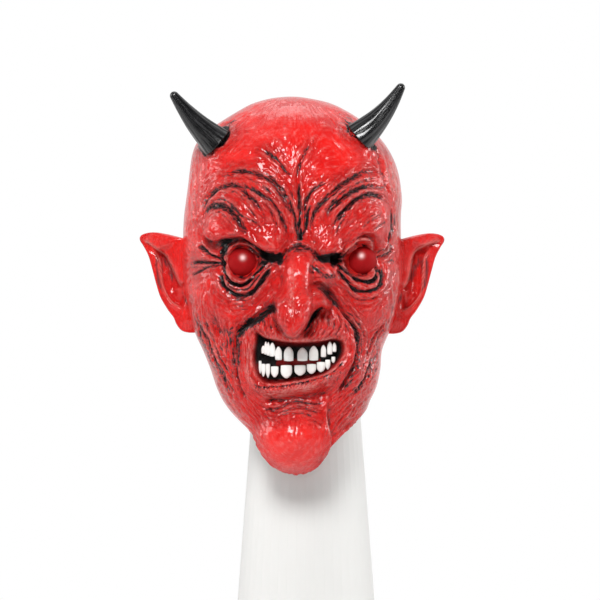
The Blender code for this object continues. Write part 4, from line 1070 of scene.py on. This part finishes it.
def buildMask():
    v, paint = maskValues, paintValues
    turns, rows = headTurns(v["columns"]), headRows(v["rows"])
    across, depth, down = headForm(turns, rows)
    shape = across.shape
    grid = place(across, depth, down)
    outward = gridNormals(grid)
    s = newSheet(across, down, eased(-0.10, -0.45, outward[..., 1]))
    modelFace(s)
    gum, strip = openMouth(s)
    lay = layOfSkin(s, shape)
    calm = eased(0, 0.25, s["gate"]) * (1 - gum)
    coarse = wrinkleField(s, lay, wrinkleValues["coarse"], 3.0) - wrinkleValues["level"]
    fine = wrinkleField(s, lay, wrinkleValues["fine"], 11.0) - wrinkleValues["level"]
    s["lift"] += calm * (v["coarseGrain"] * coarse + v["fineGrain"] * fine)
    # paint settles in the hollows and rubs off the ridges; the pale ridges are also painted highlight
    relief = (s["lift"] - s["form"]).reshape(shape)
    stand = (relief - spread(relief, 8)).ravel() * calm
    hollow = np.clip(-stand * paint["hollow"] - paint["hollowFrom"], 0, paint["hollowMost"])
    wiped = np.clip(stand * paint["wipe"], 0, paint["wipeMost"])
    wash = np.clip(np.maximum(s["wash"], hollow) - wiped, 0, paint["washAndShadeMost"])
    ridge = np.clip(np.maximum(stand * paint["ridge"], s["rub"] * calm), 0, paint["ridgeMost"])
    lift = s["lift"].reshape(shape) * sheetValues["step"]
    forward = eased(5, 18, s["lift"]).reshape(shape)[..., None]
    push = outward * (1 - forward) + np.array([0.0, -1.0, -0.02]) * forward
    push /= np.linalg.norm(push, axis=-1, keepdims=True)
    skin = clearOfPost(grid + push * lift[..., None], v["wall"] + v["postGap"])
    # lining: the relief calmed and set in by the wall
    deep = lift * (push * outward).sum(-1)
    for _ in range(5):
        deep = np.minimum(deep, np.minimum(np.roll(deep, 1, 1), np.roll(deep, -1, 1)))
        deep[1:-1] = np.minimum(deep[1:-1], np.minimum(deep[2:], deep[:-2]))
    deep = spread(deep, 8)
    lining = clearOfPost(grid + outward * (deep - v["wall"])[..., None], v["postGap"])
    keep = np.linspace(len(rows) - 1, 0, v["liningRows"]).astype(int)
    spots = np.concatenate([skin, lining[keep]])
    spots[0] = skin[0].mean(0)
    spots[-1] = lining[0].mean(0)
    extra = np.zeros((len(keep), shape[1]))
    layGrid = np.dstack([field.reshape(shape) for field in (*lay.T, grainStrength(s))])
    values = {key: np.concatenate([field.reshape(shape), extra + inner]) for key, field, inner in (
        ("wash", wash, paint["lining"]), ("ridge", ridge, 0), ("gum", gum, 0),
        ("strip", strip, 0))}
    values["lay"] = np.concatenate([layGrid, layGrid[keep]])
    obj = finishPiece("mask_skin", sheetMesh("mask_skin", spots, values), latexSkin)
    bm = bmesh.new()
    bm.from_mesh(obj.data)
    tree = BVHTree.FromBMesh(bm)
    bm.free()
    return obj, tree


maskSkin, skinTree = buildMask()
print("mask skin:", len(maskSkin.data.polygons), "faces")


def skinDepth(across, down):
    return skinTree.ray_cast(spotAt(across, -300, down), Vector((0, 1, 0)))[0].y


# The ears.

earValues = {
    "edge": 4.0,             # thickness at the rim, in steps
    "rim": 0.0007,           # how far the round rim stands out, in metres
    "columns": 40, "rows": 130,
    "mirror": 584, "lower": 1.0,    # the right ear: left plus right on the sheet, and its drop
    "outline": (
        (197, 241), (188, 240), (180, 238), (168, 235), (156, 233), (147, 233.5), (141, 236),
        (140.3, 240), (144, 246), (149, 256), (153, 270), (157, 285), (161, 297), (168, 309),
        (174, 317), (177, 324), (182, 330), (189, 332), (196, 332)),
    "flapLeft": ((142, 239), (150, 244), (158, 250), (166, 256), (172, 268), (177, 279),
                 (182, 288)),
    "rollLeft": ((184, 309), (172, 302), (164, 289), (161, 275), (160, 262), (154, 249)),
    "flapRight": ((142, 239), (158, 244), (170, 252), (173, 268), (176, 280), (182, 289)),
    "rollRight": ((184, 309), (174, 306), (163, 292), (161, 275), (160, 258), (154, 247)),
    "paint": (               # lines of painted shade in the hollows, laid as dark wash: width, amount, line
        (2.2, 0.42, ((152, 249), (156.5, 258), (157, 270), (159.5, 284), (165, 297))),
        (3.8, 0.42, ((157, 251), (163, 258), (168, 266), (172, 275), (176, 287))),
        (1.4, 0.42, ((161, 254), (162, 264), (163, 276))),
        (2.0, 0.40, ((181, 290), (185, 299), (190, 308)))),
}


def buildEar(name, flapLine, rollLine, mirrored):
    values = earValues
    edge = roundedPath(values["outline"], steps=12)
    run = runOf(edge)
    spots = np.linspace(0, run[-1], values["rows"])
    outer = np.stack([np.interp(spots, run, edge[:, 0]), np.interp(spots, run, edge[:, 1])], -1)
    share = spots / run[-1]
    root = np.stack([203 + 0 * share, 247 + 76 * eased(0.1, 1.0, share)], -1)
    a = np.linspace(0, 1, values["columns"])[:, None]
    inner = a[..., None] ** 0.8
    flat = root[None] * (1 - inner) + outer[None] * inner
    across, down = flat[..., 0], flat[..., 1]
    shape = across.shape
    s = newSheet(across, down, np.ones(shape))
    ledge(s, rollLine, 3.0, 9.0, 5.0, 16.0, 1.0, 0.1, 0, 5)
    ledge(s, flapLine, 6.0, 7.0, 22.0, 8.0, 0.9, 0.08, 0, 6)
    # pale edges on the flap and the roll: rubbing and painted highlight
    rubAndHighlightLine(s, flapLine, 0.55, 1.6, 0.1)
    rubAndHighlightLine(s, rollLine, 0.45, 1.4, 0.15)
    bump(s, 186, 318, 16, 14, 3)
    fold(s, ((176, 262), (170, 274), (172, 288), (178, 296)), 2.0, 1.0, 0.5, 0.1)
    for width, amount, line in values["paint"]:
        brushLine(s, line, width, amount, 0.25)
    # the ear sweeps back outwards, thin at its edge and swelling behind
    lift, close = s["lift"].reshape(shape), a ** 3
    sweep = 6 + 0.30 * (185 - across)
    front = sweep - 2 - lift * (1 - close)
    back = np.maximum(sweep + values["edge"], front + values["edge"])
    back = back + 10 * np.sin(np.clip((across - 140) / 50, 0, 1) * math.pi / 2) * (1 - close)
    if mirrored:
        across = values["mirror"] - across
        down = down + values["lower"]
    first, second = place(across, front, down), place(across, back, down)
    # round the rim between front and back
    middle, half = (first[-1] + second[-1]) / 2, (first[-1] - second[-1]) / 2
    out = np.cross(np.gradient(middle, axis=0), [0.0, 1.0, 0.0])
    out /= np.maximum(np.linalg.norm(out, axis=-1, keepdims=True), 1e-9)
    if (out[len(out) // 2, 0] > 0) != mirrored:
        out = -out
    rim = [middle + half * math.cos(t) + out * values["rim"] * math.sin(t)
           for t in (math.radians(turn) for turn in (30, 60, 90, 120, 150))]
    ring = np.concatenate([first, np.array(rim), second[::-1]])
    wash, ridge, lay = np.zeros(ring.shape[:2]), np.zeros(ring.shape[:2]), np.zeros(ring.shape)
    stand = lift - spread(lift, 6)
    # the hollows of the ear are darkened a little: painted shade
    wash[:len(first)] = np.maximum(s["wash"].reshape(shape), np.clip(-stand * 0.10, 0, 0.20))
    # the high places are paler: rubbing and painted highlight
    ridge[:len(first)] = np.maximum(np.clip(stand * 0.10, 0, 0.3), s["rub"].reshape(shape))
    lay[..., 0] = -1.0
    lay[..., 2] = 0.5
    mesh = sheetMesh(name, ring, {"wash": wash, "ridge": ridge, "lay": lay})
    obj = finishPiece(name, mesh, latexEar, merge=0)
    closeEnds(obj.data, True)
    obj.data.shade_smooth()


buildEar("ear_left", earValues["flapLeft"], earValues["rollLeft"], False)
buildEar("ear_right", earValues["flapRight"], earValues["rollRight"], True)
print("ears made")


# The teeth.

teethValues = {
    "length": 8.0,           # how far a tooth stands out of the gum, in steps
    "seat": 0.0018,          # how deep it is set, in metres
    "upper": (               # across, top, bottom, width
        (263.6, 345, 353, 3.6), (266.2, 341, 354, 3.4), (268.6, 341.5, 355, 3.4),
        (272.6, 342, 356, 5.6), (278.7, 346, 359.5, 6.6), (288.8, 346, 360.6, 9.2),
        (302.4, 347, 360.4, 9.8), (313.5, 345.3, 360, 8.8), (323.2, 344.3, 356.5, 5.2),
        (329.4, 341, 354, 5.0), (334, 342, 351.5, 4.0)),
    "lower": (
        (260.6, 360, 373, 2.8), (263.8, 363, 376, 4.2), (268.3, 363, 377, 4.2),
        (275, 365.5, 376.6, 7.2), (286.5, 364.3, 377.6, 10.8), (300, 364.3, 375, 10.8),
        (311.3, 363.2, 373.2, 9.0), (320.8, 361.2, 371.6, 8.2), (327.5, 359, 369, 5.0),
        (333, 356, 362.5, 3.8)),
}


def buildTeeth(name, rows, narrow):
    seat, length = teethValues["seat"], teethValues["length"] * sheetValues["step"]
    joined = bmesh.new()
    for across, top, bottom, wide in rows:
        bm = bmesh.new()
        bmesh.ops.create_cube(bm, size=2.0)
        bmesh.ops.subdivide_edges(bm, edges=bm.edges, cuts=5, use_grid_fill=True)
        middle, tall = (top + bottom) / 2, (bottom - top) / 2
        gumDepth = skinDepth(across, middle)
        for vert in bm.verts:
            x, y, z = vert.co
            # a soft-cornered block: squarer at the biting edge, drawn in at the gum
            atGum = 0.5 + 0.5 * z * narrow              # 1 at the gum, 0 at the biting edge
            x1 = x * math.sqrt(max(1 - (0.16 + 0.50 * atGum) * z * z, 0))
            z1 = z * math.sqrt(max(1 - (0.10 + 0.34 * atGum) * x * x, 0))
            pinch = 1.12 - 0.16 * atGum
            near = 0.5 - 0.5 * y                        # 1 at the face of the tooth
            swell = 1 - 0.11 * near * (x * x + 0.6 * z * z)
            spot = spotAt(across + x1 * wide / 2 * pinch, 0, middle - z1 * tall)
            vert.co = (spot.x, gumDepth + seat - near * swell * (length + seat), spot.z)
        bmesh.ops.smooth_vert(bm, verts=bm.verts, factor=0.3, use_axis_x=True,
                              use_axis_y=True, use_axis_z=True)
        part = meshOf(bm, "tooth")
        joined.from_mesh(part)
        bpy.data.meshes.remove(part)
    obj = finishPiece(name, meshOf(joined, name), toothWhite, merge=0)


buildTeeth("teeth_upper", teethValues["upper"], 1)
buildTeeth("teeth_lower", teethValues["lower"], -1)
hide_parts("mask")
print("teeth made")


# The horns.

hornValues = {
    "baseRadius": 0.0153, "tipRadius": 0.0034, "seat": 0.0050,
    "ridges": 9, "ridgeDepth": 0.07, "rings": 90, "around": 96,
    "left": ((214, 140), (172.5, 93.5), 0.002),    # base, tip and bow
    "right": ((362.5, 134), (402.3, 85.2), -0.003),
}


def buildHorn(name, baseSpot, tipSpot, bow, seed):
    v, back = hornValues, Vector((0, 1, 0))
    baseDepth = skinDepth(*baseSpot) / sheetValues["step"]
    base = spotAt(baseSpot[0], baseDepth, baseSpot[1])
    tip = spotAt(tipSpot[0], baseDepth - 8, tipSpot[1])
    axis = (tip - base).normalized()
    root = base - axis * v["seat"]
    side = axis.cross(back).normalized()
    length = (tip - root).length
    spots = np.zeros((v["rings"] + 1, v["around"] + 1, 3))
    run = np.zeros(spots.shape)
    for i in range(v["rings"] + 1):
        t = i / v["rings"]
        cap = max((t * length - (length - v["tipRadius"])) / v["tipRadius"], 0)
        centre = root + axis * t * length + side * bow * math.sin(math.pi * t)
        radius = v["baseRadius"] + (v["tipRadius"] - v["baseRadius"]) * t ** 0.92
        radius *= math.sqrt(max(1 - cap * cap, 0))
        along = (axis + side * bow / length * math.pi * math.cos(math.pi * t)).normalized()
        e1 = along.cross(back).normalized()
        e2 = along.cross(e1)
        for j in range(v["around"] + 1):
            turn = 2 * math.pi * (j % v["around"]) / v["around"]
            c, n = math.cos(turn), math.sin(turn)
            sway = turn + 0.5 * noiseAt(c * 2, n * 2, t * 1.5 + seed)
            ridge = abs(math.sin(sway * v["ridges"] / 2)) ** 0.7
            rough = 0.02 * (noiseAt(c * 9, n * 9, t * 3 + seed) - 1)
            r = radius * (1 - v["ridgeDepth"] * (1 - ridge) * (1 - t) ** 0.3 + rough)
            spots[i, j] = centre + e1 * r * c + e2 * r * n
            run[i, j] = (c, n, 0.35 * t + seed)
    obj = finishPiece(name, sheetMesh(name, spots, {"run": run}), hornBlack)
    closeEnds(obj.data, False)
    return obj


hornLeft = buildHorn("horn_left_ridged", *hornValues["left"], 1.0)
hornRight = buildHorn("horn_right_ridged", *hornValues["right"], 5.0)
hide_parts("horn_left")
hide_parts("horn_right")
print("horns made")


# The eye domes.

eyeValues = {
    "highlightReach": 0.0037,     # radius of the painted highlight
    "highlightRise": 0.0040,      # how far it stands above the middle
    # spot is the colour of the painted highlight, edge the paler red of a painted reflection at the rim
    "red": (0.34, 0.007, 0.009, 1), "spot": (1.0, 0.66, 0.64, 1), "edge": (0.42, 0.012, 0.014, 1),
}


def domeMaterial():
    v = eyeValues
    material, make, tree, shader = newMaterial("domeRed")
    # a painted reflection makes the red paler towards the rim, and a painted highlight sits above the
    # middle
    body = mixColour(make, readValue(make, "rim"), v["red"], v["edge"])
    fill(tree, shader, Base_Color=mixColour(make, readValue(make, "paintedHighlight"), body, v["spot"]),
         Roughness=0.60, Specular_IOR_Level=0.06, Coat_Weight=0.0)
    return material


domeRed = domeMaterial()


def buildEye(node, name):
    low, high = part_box(node)
    radius = (high.x - low.x) / 2
    centre = Vector(((low.x + high.x) / 2, low.y + radius, (low.z + high.z) / 2))
    bm = bmesh.new()
    bmesh.ops.create_uvsphere(bm, u_segments=96, v_segments=72, radius=radius)
    bmesh.ops.rotate(bm, verts=bm.verts, cent=(0, 0, 0),
                     matrix=Matrix.Rotation(math.pi / 2, 3, 'X'))
    bmesh.ops.bisect_plane(bm, geom=bm.verts[:] + bm.edges[:] + bm.faces[:],
                           plane_co=(0, 0.0006, 0), plane_no=(0, 1, 0), clear_outer=True)
    bmesh.ops.holes_fill(bm, edges=[e for e in bm.edges if e.is_boundary], sides=0)
    bmesh.ops.translate(bm, verts=bm.verts, vec=centre)
    mesh = meshOf(bm, name)
    # the painted highlight, a little above the middle
    spot = centre + Vector((0.0003, 0, eyeValues["highlightRise"]))
    paintedHighlight, rim = [], []
    for vert in mesh.vertices:
        away = math.hypot(vert.co.x - spot.x, vert.co.z - spot.z) / eyeValues["highlightReach"]
        paintedHighlight.append(math.exp(-(1.6 * away) ** 2))
        # the painted reflection, growing towards the rim
        out = math.hypot(vert.co.x - centre.x, vert.co.z - centre.z) / radius
        rim.append(max(out - 0.45, 0) * 0.9)
    for key, values in (("paintedHighlight", paintedHighlight), ("rim", rim)):
        mesh.attributes.new(key, 'FLOAT', 'POINT').data.foreach_set("value", values)
    obj = finishPiece(name, mesh, domeRed)
    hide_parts(node)


buildEye("eye_left", "eye_dome_left")
buildEye("eye_right", "eye_dome_right")
print("eye domes made")


# The stand.

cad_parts["display_stand"].data.materials.clear()
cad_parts["display_stand"].data.materials.append(standWhite)
print("stand finished")


# Floor, light and camera.

roomValues = {
    "floorSize": 1.1, "skyFront": 0.07, "skyBehind": 0.80, "lampAim": (0, 0, 0.33),
    "lamps": (               # name, place, size, power
        ("key", (-0.30, -1.5, 1.45), 0.7, 29.5),
        ("front", (0.15, -1.9, 0.40), 0.30, 2.2),
        ("sideRight", (1.4, 0.15, 0.75), 0.6, 8.28),
        ("sideLeft", (-1.4, 0.15, 0.75), 0.6, 4.6),
        ("top", (0.0, 0.7, 1.8), 1.0, 5.2)),
    "distance": 9.0, "aim": (-0.0054, 0.0, 0.315), "view": 0.54,
}


def buildRoom():
    v = roomValues
    bm = bmesh.new()
    bmesh.ops.create_grid(bm, x_segments=2, y_segments=2, size=v["floorSize"])
    bmesh.ops.translate(bm, verts=bm.verts, vec=(0, 0, -0.0005))
    mesh = meshOf(bm, "floor")
    floor = addObject("floor", mesh)
    mesh.materials.append(plainMaterial("paleFloor", (0.86, 0.86, 0.86), 0.6, 0, 3, 0.02))
    world = bpy.data.worlds.new("studio")
    bpy.context.scene.world = world
    world.use_nodes = True
    make = nodeMaker(world.node_tree)
    # a white backdrop behind the object and a dim room in front of it
    where = make("SeparateXYZ", Vector=make("TexCoord").outputs["Generated"]).outputs["Y"]
    behind = ramp(make, where, -0.4, 0.4, v["skyFront"], v["skyBehind"])
    seen = make("LightPath").outputs["Is Camera Ray"]
    fill(world.node_tree, world.node_tree.nodes["Background"], Color=(1, 1, 1, 1),
         Strength=mixValue(make, seen, behind, 1.0))
    for name, spot, size, power in v["lamps"]:
        light = bpy.data.lights.new(name, 'AREA')
        light.shape = 'DISK'
        light.energy = power
        light.size = size
        lamp = addObject(name, light)
        lamp.location = spot
        facing = Vector(v["lampAim"]) - Vector(spot)
        lamp.rotation_euler = facing.to_track_quat('-Z', 'Y').to_euler()
    lens = bpy.data.cameras.new("photoCamera")
    lens.sensor_width = 36.0
    lens.lens = 36.0 * v["distance"] / v["view"]
    lens.clip_end = 100.0
    camera = addObject("photoCamera", lens)
    camera.location = Vector(v["aim"]) + Vector((0, -v["distance"], 0))
    camera.rotation_euler = (math.radians(90), 0, 0)
    bpy.context.scene.camera = camera
    bpy.context.scene.view_settings.view_transform = 'Standard'


buildRoom()
print("room, lights and camera set")
